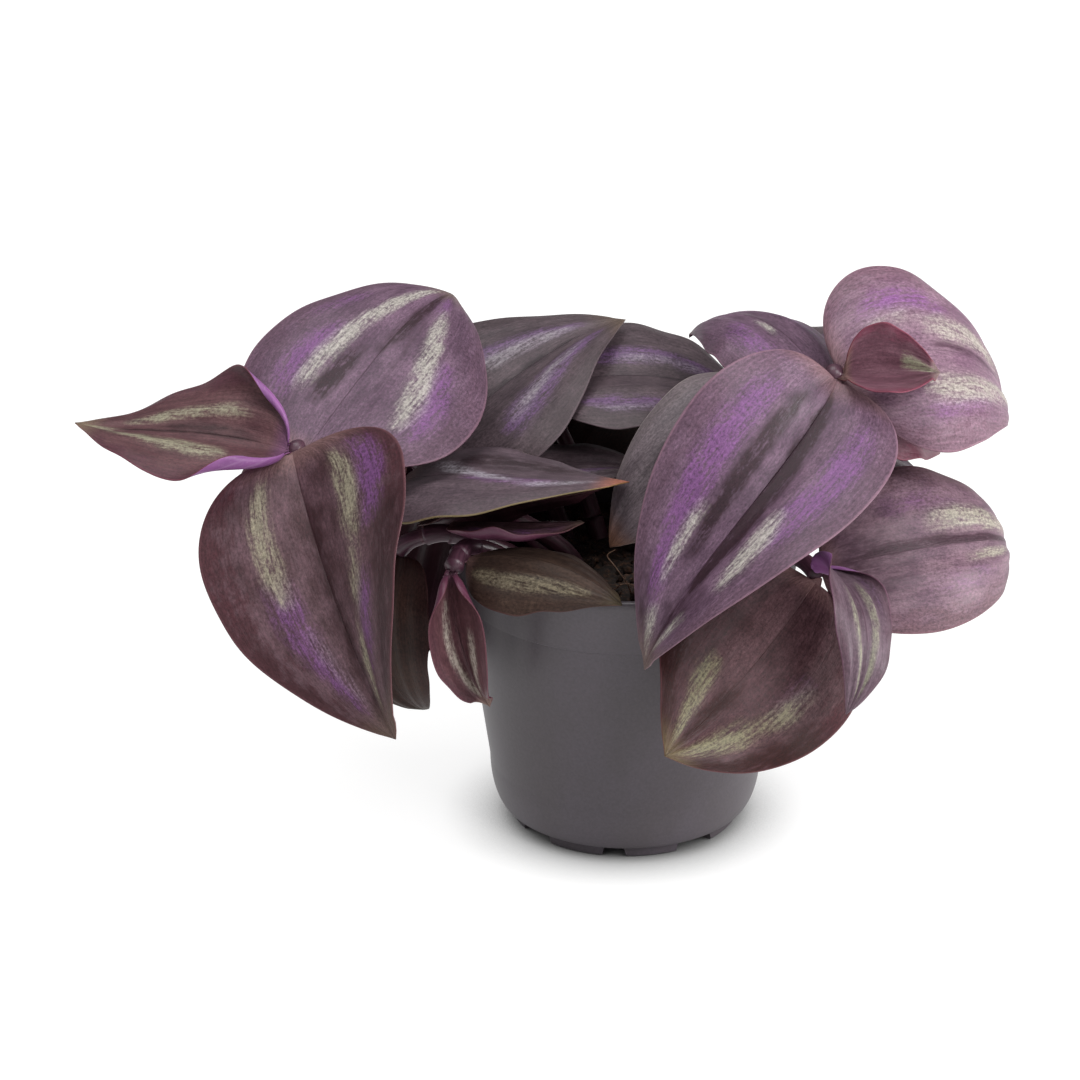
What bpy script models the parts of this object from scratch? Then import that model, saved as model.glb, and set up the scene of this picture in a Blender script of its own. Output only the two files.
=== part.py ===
"""Potted tradescantia: a young wandering plant in a 7 cm nursery pot, built as an assembly.

The pot, the compost, every shoot and every leaf is an object of its own. Sizes are in millimetres
here and turn into metres where a mesh or a curve takes its points. The origin is the middle of the
pot's foot, on the ground. +Z is up and -Y is the side that faces the room.
"""

from dataclasses import dataclass
import math

import bmesh
import bpy
from mathutils import Matrix, Vector
import numpy as np

MM = 0.001
CLEARANCE = 0.3                # between two pieces that touch in life
HOLE_CLEARANCE = 0.42          # round a shoot in the compost, whose facets cut the corner

# Pot
POT_HEIGHT = 61.0
RIM_RADIUS = 35.0
RIM_BAND = 12.0                # height of the slightly proud band under the lip
BAND_PROUD = 0.35
WALL_RADIUS = 25.3             # where the straight wall would meet the ground
WALL_SLOPE = 0.15              # radius gained for each millimetre of height
WALL_THICKNESS = 1.2
LIP_WIDTH = 1.8
CORNER_HEIGHT = 13.0           # where the wall starts to turn in towards the foot
FOOT_RADIUS = 22.7
FOOT_HEIGHT = 2.2
FOOT_INNER_RADIUS = 18.6
CENTRE_RADIUS = 14.5           # the flat middle of the floor, which stands on the ground
FLOOR_THICKNESS = 1.4
NOTCH_HEIGHT = 2.0
NOTCHES = ((-6.0, 4.7), (37.5, 8.4))     # bearing from -Y in degrees, width
NOTCH_REPEATS = 4
DRAIN_RADIUS = 1.3
DRAIN_CIRCLE = 16.8
POT_STEPS = 48

# Compost
COMPOST_TOP = 54.0
COMPOST_CROWN = 1.0
COMPOST_STEPS = 32
ROOT_DEPTH = 10.0              # how far a shoot goes down into the compost

# Shoots
SHOOT_BASE_RADIUS = 2.0
SHOOT_TIP_RADIUS = 1.4
SHOOT_POINT_SPACING = 5.0
SHOOT_BEVEL_RESOLUTION = 2

# Leaves
LEAF_THICKNESS = 0.6
LEAF_ROWS = 8
LEAF_COLUMNS = 6
MIDRIB_STEPS = 24
PETIOLE_HALF_WIDTH = 1.3       # where the blade leaves the shoot
TIP_HALF_WIDTH = 0.8
FLAT_BELOW = 3.0               # a blade narrower than this each side loses its fold
OUTLINE_RISE = 0.5             # powers of the outline's two ends: round base, pointed tip
OUTLINE_FALL = 1.0
CURL_REACH = 0.5               # share of a young leaf over which its margins roll in


@dataclass(frozen=True)
class Shoot:
    """A shoot's route from the compost to its tip, as points in millimetres."""
    name: str
    route: tuple


@dataclass(frozen=True)
class Leaf:
    """A leaf: where its blade leaves the shoot, how it points and bends, and its own shape.

    base is a point near the shoot, on the side where the blade sits; seat_on_shoot moves it to
    the skin. Angles are in degrees. heading is measured from +X, counter-clockwise from above;
    rise is above the horizontal; roll lifts the left half. droop and hook bend the midrib down,
    hook mostly near the tip; sweep bends it left and twist turns it about itself. fold lifts both
    halves from the midrib, arch rounds them back down, and curl rolls the margins in at the base.
    """
    name: str
    base: tuple
    heading: float
    rise: float
    roll: float
    droop: float
    hook: float
    sweep: float
    twist: float
    length: float
    width: float
    fold: float
    arch: float
    lean: float = 0.0          # share by which the left half is wider
    curl: float = 0.0
    finish: str = "leaf"


FINISHES = {
    # name: (red, green, blue, roughness)
    "pot": (0.105, 0.085, 0.097, 0.55),
    "compost": (0.030, 0.020, 0.014, 0.95),
    "shoot": (0.150, 0.045, 0.075, 0.50),
    "leaf": (0.120, 0.060, 0.110, 0.45),
    "young": (0.200, 0.040, 0.075, 0.42),
    "shaded": (0.085, 0.060, 0.055, 0.50),
}

SHOOTS = (
    Shoot("shoot_left", ((-8, -1, 44), (-11, -2, 56), (-22, -3, 65), (-34, -4, 69.5),
                         (-46, -6, 72.8), (-56, -10, 77), (-63, -13.5, 81), (-65, -16, 86))),
    Shoot("shoot_tall", ((10, 2, 44), (13, 2, 56), (22, 3, 69), (31, 0.5, 82), (37, -3.5, 92),
                         (40, -9, 97.8), (40.3, -12.8, 100.3))),
    Shoot("shoot_right", ((11, -9, 44), (14, -11, 56), (22, -15, 64), (28, -18.5, 65.6),
                          (34, -22.5, 64.8), (37, -26, 63.5))),
    Shoot("shoot_front", ((-13, -9, 44), (-18, -12, 56), (-26, -16, 63.5), (-31, -20, 66.5),
                          (-33, -25, 67), (-34, -28.5, 66))),
    Shoot("shoot_side", ((-15, -4, 44), (-19, -7, 56), (-28, -12, 64), (-36, -14.5, 67),
                         (-42, -14, 65.5), (-45, -13, 63))),
    Shoot("shoot_rear_left", ((-14, 4, 44), (-18, 5, 56), (-29, 7.5, 65.5), (-36, 8.5, 68.3),
                              (-41, 10, 71.5), (-47, 17, 75.5), (-49, 21, 76.5))),
    Shoot("shoot_middle", ((-3, 9, 44), (-6, 13, 57), (-11, 18, 70), (-15.5, 21.5, 79),
                           (-16.5, 22, 82))),
    Shoot("shoot_rear_right", ((8, 9, 44), (12, 13, 56), (22, 24, 67), (32, 36, 71.5),
                               (38, 48, 71.5))),
    Shoot("shoot_far_left", ((-9, 10, 44), (-13, 15, 56), (-20, 27, 67), (-29, 40, 70),
                             (-36, 49, 69))),
    Shoot("shoot_far", ((3, 12, 44), (3, 18, 56), (1, 29, 66), (-1, 40, 65.5))),
)

LEAVES = {
    "shoot_left": (
        Leaf("leaf_left_rear", (-63.5, -12.5, 83), 59, 22, 4, -9, 55, -3, 18, 61, 51, 14,
             37, lean=-0.04),
        Leaf("leaf_left_hanging", (-66, -20, 84), -75, -35, 31, 11, -4, 9, 39, 66, 52, 25,
             12, lean=0.11),
        Leaf("leaf_left_young", (-68.5, -16.5, 85), 172, 14, -37, 55, -49, 0, 39, 44, 32, 19,
             33, curl=60, finish="young"),
        Leaf("leaf_left_inner", (-44, -6, 75), -33, 20, 10, 32, -19, 19, -22, 49, 38, 17,
             46),
    ),
    "shoot_tall": (
        Leaf("leaf_tall_outer", (42.5, -9, 98), 18, 24, 41, 91, 21, -35, -10, 53, 45, 14,
             40),
        Leaf("leaf_tall_front", (41.5, -17.5, 95), -114, -23, -38, 51, 26, -26, 54, 73, 43,
             34, 25, lean=-0.03),
        Leaf("leaf_tall_young", (46, -13.5, 99.5), 8, -1, 46, 4, -3, 0, 8, 19, 24, 44, -19,
             finish="young"),
        Leaf("leaf_tall_inner", (33, -5, 88), -124, 19, -33, 95, 25, -12, 15, 56, 36, 21,
             49, lean=0.1, finish="shaded"),
        Leaf("leaf_tall_rear", (37, -4, 96.5), 118, 30, 12, 60, 26, 16, -9, 42, 31, 7, 54,
             lean=-0.05),
        Leaf("leaf_tall_below", (43, -3, 90.5), 26, -16, 19, 34, 11, 0, 3, 35, 27, 12, 43,
             finish="young"),
        Leaf("leaf_tall_middle", (35, 1, 86), 58, 11, 28, 33, 2, -4, 8, 54, 33, 11, 49),
        Leaf("leaf_tall_low", (28, 6, 71), 18, 6, 11, 58, 4, -3, -10, 54, 38, 22, 36,
             finish="shaded"),
    ),
    "shoot_right": (
        Leaf("leaf_right_outer", (38.5, -23.5, 63), -4, 18, 47, 90, 32, 15, 14, 59, 36, 13,
             47, lean=0.06),
        Leaf("leaf_right_hanging", (35.5, -29.5, 57.5), -145, -47, -59, -34, -5, -23, -6,
             50, 45, 15, 41, finish="young"),
        Leaf("leaf_right_young", (32.5, -38.5, 73), -45, 12, -42, 112, 25, 6, 32, 39, 17,
             18, 39, curl=80, finish="young"),
    ),
    "shoot_front": (
        Leaf("leaf_front_young", (-36, -29, 61.5), -77, -66, 9, 64, -21, 18, 21, 31, 18,
             52, -2, lean=0.03, finish="young"),
        Leaf("leaf_front_rim", (-31, -25, 66), -25, 19, 5, 47, 19, -3, 18, 34, 25, 0, 60,
             finish="shaded"),
    ),
    "shoot_side": (
        Leaf("leaf_side_under", (-40, -13.5, 69), -12, 21, -25, 11, -6, -5, -3, 38, 28, 16,
             43, finish="shaded"),
        Leaf("leaf_side_inner", (-33.5, -12, 73), -17, 5, -23, 0, -9, -1, 21, 27, 27, -2,
             30, finish="young"),
        Leaf("leaf_side_hanging", (-45, -13, 61), -119, -35, 16, 104, 18, 4, -11, 39, 24,
             24, 36, finish="shaded"),
    ),
    "shoot_rear_left": (
        Leaf("leaf_rear_left_broad", (-39.5, 11.5, 73), 41, 27, 15, -4, 22, -17, -25, 51,
             46, 23, 34),
        Leaf("leaf_rear_left_inner", (-35, 8, 71.5), -1, -2, -10, -23, 24, -14, 26, 40, 24,
             21, 39, finish="shaded"),
        Leaf("leaf_rear_left_hanging", (-49.5, 9.5, 75.5), -151, 5, -19, 83, 9, 2, 18, 48,
             34, 21, 29),
        Leaf("leaf_rear_left_top", (-47.5, 24, 73), 86, 27, 14, 41, 10, 2, 7, 55, 33, 12,
             46),
        Leaf("leaf_rear_left_outer", (-51, 18, 75.5), -143, -39, -26, 45, 2, 11, 4, 50, 32,
             12, 42),
        Leaf("leaf_rear_left_low", (-38, 9.5, 67.5), -158, -63, 58, 34, 0, 5, 23, 48, 33, 4,
             19, finish="shaded"),
    ),
    "shoot_middle": (
        Leaf("leaf_middle_broad", (-14, 22.5, 83), -3, 18, 9, 53, 5, 0, 3, 45, 40, 21, 39),
        Leaf("leaf_middle_rear", (-16, 24, 80), 89, 15, -13, 31, 15, -9, 0, 42, 26, 21,
             39),
        Leaf("leaf_middle_low", (-10.5, 19.5, 68), 65, 19, 16, 27, 0, -2, 2, 53, 26, 6, 32,
             finish="shaded"),
    ),
    "shoot_rear_right": (
        Leaf("leaf_rear_right_hanging", (28.5, 28.5, 68), 7, -30, -19, 87, 3, -7, 2, 60,
             38, 13, 31),
        Leaf("leaf_rear_right_outer", (35.5, 38, 71), 5, -34, -17, 24, 18, 4, -14, 59, 40,
             16, 45),
        Leaf("leaf_rear_right_low", (38.5, 50, 71), 121, -36, 8, 83, 17, 0, 9, 62, 42, 9,
             35),
        Leaf("leaf_rear_right_top", (35, 50.5, 76), 60, 5, -28, 54, 1, 6, 8, 60, 39, 25,
             37),
    ),
    "shoot_far_left": (
        Leaf("leaf_far_left_hanging", (-24.5, 32, 67), 178, -19, 6, 78, 9, 1, 7, 58, 38,
             21, 32),
        Leaf("leaf_far_left_outer", (-38, 48.5, 70), -139, 11, -20, 91, 17, -1, 9, 59, 38,
             17, 31),
        Leaf("leaf_far_left_top", (-34, 49.5, 68.5), 26, 10, 5, 17, 15, 6, -14, 56, 37, 24,
             42),
    ),
    "shoot_far": (
        Leaf("leaf_far_top", (4, 43.5, 69.5), 90, 12, 7, 58, 15, -4, -12, 56, 37, 22, 53),
    ),
}


def clear_scene():
    """Remove whatever the file opened with."""
    for thing in list(bpy.data.objects):
        bpy.data.objects.remove(thing, do_unlink=True)


def new_collection(name):
    """Make a collection in the scene."""
    collection = bpy.data.collections.new(name)
    bpy.context.scene.collection.children.link(collection)
    return collection


def make_material(name, finish):
    """Make a piece's own Principled material from a named finish."""
    red, green, blue, roughness = FINISHES[finish]
    material = bpy.data.materials.new(name)
    material.use_nodes = True
    shader = material.node_tree.nodes["Principled BSDF"]
    shader.inputs["Base Color"].default_value = (red, green, blue, 1.0)
    shader.inputs["Roughness"].default_value = roughness
    shader.inputs["Metallic"].default_value = 0.0
    return material


def add_object(name, data, collection, finish=None):
    """Link a mesh or curve into the collection, with its own material if it has a finish."""
    thing = bpy.data.objects.new(name, data)
    collection.objects.link(thing)
    if finish:
        data.materials.append(make_material(name, finish))
    return thing


def make_cutter(name, data, collection):
    """Link a mesh that only cuts others and is never built."""
    cutter = add_object(name, data, collection)
    cutter.hide_render = True
    cutter.display_type = "WIRE"
    return cutter


def cut(target, cutter):
    """Take the cutter's shape out of the target."""
    boolean = target.modifiers.new(cutter.name, "BOOLEAN")
    boolean.operation = "DIFFERENCE"
    boolean.solver = "EXACT"
    boolean.object = cutter


def turned(name, profile, steps, collection, finish):
    """Turn a profile of (radius, height) points about the vertical axis."""
    mesh = bpy.data.meshes.new(name)
    points = [(radius * MM, 0.0, height * MM) for radius, height in profile]
    mesh.from_pydata(points, [(i, i + 1) for i in range(len(points) - 1)], [])
    piece = add_object(name, mesh, collection, finish)
    screw = piece.modifiers.new("turn", "SCREW")
    screw.axis = "Z"
    screw.steps = screw.render_steps = steps
    screw.use_merge_vertices = True
    screw.merge_threshold = 1e-5
    screw.use_normal_calculate = False
    return piece


def wall_radius(height):
    """Outside radius of the pot's straight wall at a height."""
    return WALL_RADIUS + WALL_SLOPE * height


def corner_points(start, end, count):
    """Points of a quarter ellipse that leaves the wall downwards and reaches the foot sideways."""
    points = []
    for i in range(count + 1):
        angle = math.radians(90.0 * i / count)
        radius = end[0] + (start[0] - end[0]) * math.cos(angle)
        points.append((radius, start[1] + (end[1] - start[1]) * math.sin(angle)))
    return points


def pot_profile():
    """The pot's section: up the inside, over the lip, down the outside and in under the floor."""
    band_bottom = POT_HEIGHT - RIM_BAND
    floor_top = FOOT_HEIGHT + FLOOR_THICKNESS
    inner_foot = FOOT_RADIUS - 1.0
    inside = corner_points(
        (wall_radius(CORNER_HEIGHT) - WALL_THICKNESS, CORNER_HEIGHT), (inner_foot, floor_top), 3)
    outside = corner_points(
        (wall_radius(CORNER_HEIGHT), CORNER_HEIGHT), (FOOT_RADIUS + 0.4, FOOT_HEIGHT), 4)
    return [
        (0.0, FLOOR_THICKNESS),
        (CENTRE_RADIUS - 0.6, FLOOR_THICKNESS),
        (CENTRE_RADIUS + 0.4, floor_top),
        *reversed(inside),
        (wall_radius(band_bottom) - WALL_THICKNESS, band_bottom),
        (RIM_RADIUS - LIP_WIDTH, POT_HEIGHT - 1.2),
        (RIM_RADIUS - LIP_WIDTH + 0.4, POT_HEIGHT),
        (RIM_RADIUS - 0.5, POT_HEIGHT),
        (RIM_RADIUS, POT_HEIGHT - 0.6),
        (RIM_RADIUS - 0.2, POT_HEIGHT - 2.2),
        (wall_radius(band_bottom) + BAND_PROUD, band_bottom + 0.4),
        (wall_radius(band_bottom), band_bottom),
        *outside,
        (FOOT_RADIUS, FOOT_HEIGHT),
        (FOOT_RADIUS, 0.0),
        (FOOT_INNER_RADIUS, 0.0),
        (FOOT_INNER_RADIUS, FOOT_HEIGHT),
        (CENTRE_RADIUS + 0.5, FOOT_HEIGHT),
        (CENTRE_RADIUS, 0.0),
        (0.0, 0.0),
    ]


def bearing_direction(bearing):
    """Unit vector at a bearing from -Y, turning towards +X."""
    angle = math.radians(bearing)
    return Vector((math.sin(angle), -math.cos(angle), 0.0))


def notch_mesh(name, bearing, width):
    """A box across the foot ring, turned to its bearing."""
    inner, outer = FOOT_INNER_RADIUS - 1.5, FOOT_RADIUS + 3.0
    bm = bmesh.new()
    bmesh.ops.create_cube(bm, size=1.0)
    size = Vector((width, outer - inner, 2.0 * NOTCH_HEIGHT)) * MM
    place = bearing_direction(bearing) * (inner + outer) / 2.0 * MM
    turn = Matrix.Rotation(math.radians(bearing), 4, "Z")
    bm.transform(Matrix.Translation(place) @ turn @ Matrix.Diagonal((*size, 1.0)))
    mesh = bpy.data.meshes.new(name)
    bm.to_mesh(mesh)
    bm.free()
    return mesh


def drain_mesh(name, bearing):
    """A round pin through the raised ring of the floor."""
    bm = bmesh.new()
    bmesh.ops.create_cone(bm, cap_ends=True, segments=12, radius1=DRAIN_RADIUS * MM,
                          radius2=DRAIN_RADIUS * MM, depth=8.0 * MM)
    place = bearing_direction(bearing) * DRAIN_CIRCLE + Vector((0.0, 0.0, FOOT_HEIGHT))
    bm.transform(Matrix.Translation(place * MM))
    mesh = bpy.data.meshes.new(name)
    bm.to_mesh(mesh)
    bm.free()
    return mesh


def build_pot(parts, cutters):
    """The nursery pot: a turned shell whose foot ring is notched, with a drain at each wide notch."""
    pot = turned("pot", pot_profile(), POT_STEPS, parts, "pot")
    for repeat in range(NOTCH_REPEATS):
        start = 360.0 * repeat / NOTCH_REPEATS
        for kind, (bearing, width) in enumerate(NOTCHES):
            name = f"notch_{repeat}_{kind}"
            cut(pot, make_cutter(name, notch_mesh(name, start + bearing, width), cutters))
        name = f"drain_{repeat}"
        cut(pot, make_cutter(name, drain_mesh(name, start + NOTCHES[1][0]), cutters))


def compost_profile():
    """The compost's section: a slightly crowned top and sides that follow the pot's inside."""
    def side(height):
        return wall_radius(height) - WALL_THICKNESS - CLEARANCE

    floor = FOOT_HEIGHT + FLOOR_THICKNESS + CLEARANCE
    return [
        (0.0, COMPOST_TOP + COMPOST_CROWN),
        (14.0, COMPOST_TOP + 0.8 * COMPOST_CROWN),
        (24.0, COMPOST_TOP + 0.3 * COMPOST_CROWN),
        (side(COMPOST_TOP) - 1.0, COMPOST_TOP),
        (side(COMPOST_TOP) - 0.4, COMPOST_TOP - 1.0),
        (side(CORNER_HEIGHT) - 0.2, CORNER_HEIGHT),
        (side(CORNER_HEIGHT) - 1.6, floor + 3.0),
        (FOOT_RADIUS - 3.0, floor),
        (0.0, floor),
    ]


def smooth_route(route, spacing):
    """Points at an even spacing along a Catmull-Rom curve through the route."""
    points = np.array(route, float)
    points = np.vstack([2 * points[0] - points[1], points, 2 * points[-1] - points[-2]])
    fine = []
    for before, start, end, after in zip(points, points[1:], points[2:], points[3:]):
        for u in np.arange(0.0, 1.0, 0.05):
            fine.append(0.5 * (2 * start + (end - before) * u
                               + (2 * before - 5 * start + 4 * end - after) * u ** 2
                               + (3 * start - before - 3 * end + after) * u ** 3))
    fine = np.array([*fine, points[-2]])
    steps = np.linalg.norm(np.diff(fine, axis=0), axis=1)
    reach = np.concatenate([[0.0], np.cumsum(steps)])
    wanted = np.linspace(0.0, reach[-1], round(reach[-1] / spacing) + 1)
    return np.stack([np.interp(wanted, reach, column) for column in fine.T], axis=1)


def shoot_line(shoot):
    """The shoot's axis points and its radius at each of them."""
    points = smooth_route(shoot.route, SHOOT_POINT_SPACING)
    return points, np.linspace(SHOOT_BASE_RADIUS, SHOOT_TIP_RADIUS, len(points))


def seat_on_shoot(base, shoot):
    """Move a leaf's base straight in or out until it just clears the skin of its shoot."""
    points, radii = shoot_line(shoot)
    start, span = points[:-1], np.diff(points, axis=0)
    share = np.sum((base - start) * span, axis=1) / np.sum(span ** 2, axis=1)
    share = np.clip(share, 0.0, 1.0)
    nearest = start + span * share[:, None]
    gaps = np.linalg.norm(base - nearest, axis=1)
    best = int(np.argmin(gaps))
    radius = radii[best] + (radii[best + 1] - radii[best]) * share[best]
    stand_off = radius + CLEARANCE + LEAF_THICKNESS / 2.0
    return nearest[best] + (base - nearest[best]) / gaps[best] * stand_off


def shoot_curve(name, shoot, extra_radius=0.0, sink=0.0):
    """A tapering round tube along the shoot, as a curve with a bevel."""
    points, radii = shoot_line(shoot)
    points[0] -= (0.0, 0.0, sink)
    curve = bpy.data.curves.new(name, "CURVE")
    curve.dimensions = "3D"
    curve.bevel_depth = MM
    curve.bevel_resolution = SHOOT_BEVEL_RESOLUTION
    curve.use_fill_caps = True
    curve.resolution_u = 1
    spline = curve.splines.new("POLY")
    spline.points.add(len(points) - 1)
    for target, point, radius in zip(spline.points, points, radii):
        target.co = (*(Vector(point) * MM), 1.0)
        target.radius = radius + extra_radius
    return curve


def shoot_hole(shoot, cutters):
    """The shoot's own hole in the compost, as a closed mesh a little wider than the shoot."""
    curve = shoot_curve(shoot.name + "_hole", shoot, HOLE_CLEARANCE, HOLE_CLEARANCE)
    guide = add_object(shoot.name + "_guide", curve, cutters)
    bpy.context.view_layer.update()
    mesh = bpy.data.meshes.new_from_object(guide.evaluated_get(
        bpy.context.evaluated_depsgraph_get()))
    bpy.data.objects.remove(guide, do_unlink=True)
    bm = bmesh.new()
    bm.from_mesh(mesh)
    bmesh.ops.remove_doubles(bm, verts=bm.verts, dist=1e-6)
    bmesh.ops.recalc_face_normals(bm, faces=bm.faces)
    bm.to_mesh(mesh)
    bm.free()
    return make_cutter(shoot.name + "_hole", mesh, cutters)


def build_compost_and_shoots(parts, cutters):
    """The compost with a hole for each shoot, and the shoots standing in them."""
    compost = turned("compost", compost_profile(), COMPOST_STEPS, parts, "compost")
    for shoot in SHOOTS:
        cut(compost, shoot_hole(shoot, cutters))
        add_object(shoot.name, shoot_curve(shoot.name, shoot), parts, "shoot")


def turn_about(vector, axis, angle):
    """Turn a vector about a unit axis by an angle in radians."""
    return (vector * math.cos(angle) + np.cross(axis, vector) * math.sin(angle)
            + axis * np.dot(axis, vector) * (1.0 - math.cos(angle)))


def midrib_frames(leaf, base):
    """Step along the midrib: its points, and the directions to the left and out of the upper side."""
    heading, rise = math.radians(leaf.heading), math.radians(leaf.rise)
    along = np.array([math.cos(rise) * math.cos(heading), math.cos(rise) * math.sin(heading),
                      math.sin(rise)])
    left = turn_about(np.array([-math.sin(heading), math.cos(heading), 0.0]), along,
                      math.radians(leaf.roll))
    upper = np.cross(along, left)
    place = base
    places, lefts, uppers = [place], [left], [upper]
    share = 1.0 / MIDRIB_STEPS
    for step in range(MIDRIB_STEPS):
        middle = (step + 0.5) * share
        bend = math.radians(leaf.droop + leaf.hook * 3.0 * middle ** 2) * share
        sweep = math.radians(leaf.sweep) * share
        twist = math.radians(leaf.twist) * share
        halfway = turn_about(turn_about(along, left, bend / 2), upper, sweep / 2)
        place = place + halfway * leaf.length * share
        along = turn_about(turn_about(along, left, bend), upper, sweep)
        left = turn_about(turn_about(left, upper, sweep), along, twist)
        left /= np.linalg.norm(left)
        upper = np.cross(along, left)
        places.append(place)
        lefts.append(left)
        uppers.append(upper)
    return np.array(places), np.array(lefts), np.array(uppers)


def half_width(leaf, along):
    """Half the blade's width at a share of its length: a narrow base, a round belly, a point."""
    widest = OUTLINE_RISE / (OUTLINE_RISE + OUTLINE_FALL)
    outline = ((along / widest) ** OUTLINE_RISE
               * ((1.0 - along) / (1.0 - widest)) ** OUTLINE_FALL)
    base = PETIOLE_HALF_WIDTH * (1.0 - along) ** 8
    return max(base + leaf.width / 2.0 * outline, TIP_HALF_WIDTH)


def leaf_point(leaf, frames, along, across):
    """A point of the blade, from its share of the length and its place from -1 (right) to 1."""
    stations = np.linspace(0.0, 1.0, MIDRIB_STEPS + 1)
    place, left, upper = (np.array([np.interp(along, stations, column) for column in rows.T])
                          for rows in frames)
    width = half_width(leaf, along)
    spread = abs(across)
    flatten = min(1.0, (width / FLAT_BELOW) ** 2)
    curl = leaf.curl * max(0.0, 1.0 - along / CURL_REACH) ** 1.5
    fold = math.radians(leaf.fold) * flatten
    arch = math.radians(leaf.arch - curl) * flatten
    if abs(arch) < 1e-3:
        out, up = spread * math.cos(fold), spread * math.sin(fold)
    else:
        out = (math.sin(fold) - math.sin(fold - arch * spread)) / arch
        up = (math.cos(fold - arch * spread) - math.cos(fold)) / arch
    side = math.copysign(1.0, across)
    reach = width * (1.0 + leaf.lean * side)
    return place + left * (reach * out * side) + upper * (width * up)


def build_leaf(leaf, shoot, parts):
    """A leaf: a flat grid laid on the blade's surface and given its thickness."""
    frames = midrib_frames(leaf, seat_on_shoot(np.array(leaf.base, float), shoot))
    bm = bmesh.new()
    bmesh.ops.create_grid(bm, x_segments=LEAF_COLUMNS, y_segments=LEAF_ROWS, size=0.5)
    for vertex in bm.verts:
        along = min(1.0, max(0.0, vertex.co.y + 0.5)) ** 1.5
        vertex.co = Vector(leaf_point(leaf, frames, along, -2.0 * vertex.co.x)) * MM
    mesh = bpy.data.meshes.new(leaf.name)
    bm.to_mesh(mesh)
    bm.free()
    mesh.shade_smooth()
    blade = add_object(leaf.name, mesh, parts, leaf.finish)
    solidify = blade.modifiers.new("thickness", "SOLIDIFY")
    solidify.thickness = LEAF_THICKNESS * MM
    solidify.offset = 0.0
    solidify.use_even_offset = False


def main():
    """Build the whole plant."""
    clear_scene()
    parts = new_collection("potted_tradescantia")
    cutters = new_collection("cutters")
    build_pot(parts, cutters)
    build_compost_and_shoots(parts, cutters)
    for shoot in SHOOTS:
        for leaf in LEAVES[shoot.name]:
            build_leaf(leaf, shoot, parts)


if __name__ == "__main__":
    main()
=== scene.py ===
"""Looks of a young potted wandering plant: a 7 cm nursery pot, compost, arching shoots and
purple leaves with silver stripes.

Sizes are in millimetres in the dataclasses and become metres where a mesh is made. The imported
model gives the frame; every leaf and shoot repeats the shape of the CAD node that it replaces.
"""

from collections.abc import Mapping, Sequence
from dataclasses import dataclass, field
from enum import Enum
from functools import cached_property, partial
from itertools import accumulate
import logging
import math

import bpy
import numpy as np
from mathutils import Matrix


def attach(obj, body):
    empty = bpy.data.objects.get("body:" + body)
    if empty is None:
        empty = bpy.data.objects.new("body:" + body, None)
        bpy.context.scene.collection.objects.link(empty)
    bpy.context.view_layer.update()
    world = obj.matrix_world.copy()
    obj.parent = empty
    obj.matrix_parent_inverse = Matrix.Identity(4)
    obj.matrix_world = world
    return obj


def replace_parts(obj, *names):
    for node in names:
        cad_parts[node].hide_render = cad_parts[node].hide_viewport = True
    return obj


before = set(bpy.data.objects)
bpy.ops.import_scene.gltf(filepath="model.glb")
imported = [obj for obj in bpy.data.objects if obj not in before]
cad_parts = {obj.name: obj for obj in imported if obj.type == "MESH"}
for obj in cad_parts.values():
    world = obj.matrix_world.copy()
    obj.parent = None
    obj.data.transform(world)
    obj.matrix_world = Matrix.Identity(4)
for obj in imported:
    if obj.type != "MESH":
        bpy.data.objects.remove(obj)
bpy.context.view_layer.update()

logging.basicConfig(level=logging.INFO, format="%(message)s")
LOG = logging.getLogger("potted_plant")

MM = 0.001
BODY = "root"
ROUTE_STEPS = 24               # points worked out between two points of a route
Array = np.ndarray
Tree = bpy.types.NodeTree
Socket = bpy.types.NodeSocket
Material = bpy.types.Material


# ---------------------------------------------------------------- colours and nodes

def to_linear(colour: str) -> tuple[float, float, float, float]:
    """Turn an sRGB hex colour into Blender's linear colour.

    Args:
        colour: six hex digits with a leading hash.

    Returns:
        Red, green, blue and an alpha of one. Each channel c becomes c / 12.92 below 0.04045 and
        ((c + 0.055) / 1.055) to the power 2.4 above it.
    """
    channels = [int(colour[at:at + 2], 16) / 255.0 for at in (1, 3, 5)]
    red, green, blue = (c / 12.92 if c <= 0.04045 else ((c + 0.055) / 1.055) ** 2.4
                        for c in channels)
    return red, green, blue, 1.0


def add_node(tree: Tree, kind: str,
             inputs: Mapping[str | int, object] | None = None,
             **settings: object) -> bpy.types.Node:
    """Add a node with its settings and its inputs.

    Args:
        tree: the material's node tree.
        kind: the node's type name.
        inputs: for a socket's name or number, another node's output to link or a plain value.
        settings: the node's own properties.

    Returns:
        The new node.
    """
    node = tree.nodes.new(kind)
    for name, value in settings.items():
        setattr(node, name, value)
    for name, value in (inputs or {}).items():
        if isinstance(value, Socket):
            tree.links.new(value, node.inputs[name])
        else:
            node.inputs[name].default_value = value
    return node


def new_material(name: str) -> tuple[Material, Tree]:
    """Start a material with no nodes.

    Args:
        name: the material's name.

    Returns:
        The material and its node tree.
    """
    material = bpy.data.materials.new(name)
    material.use_nodes = True
    material.node_tree.nodes.clear()
    return material, material.node_tree


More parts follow.
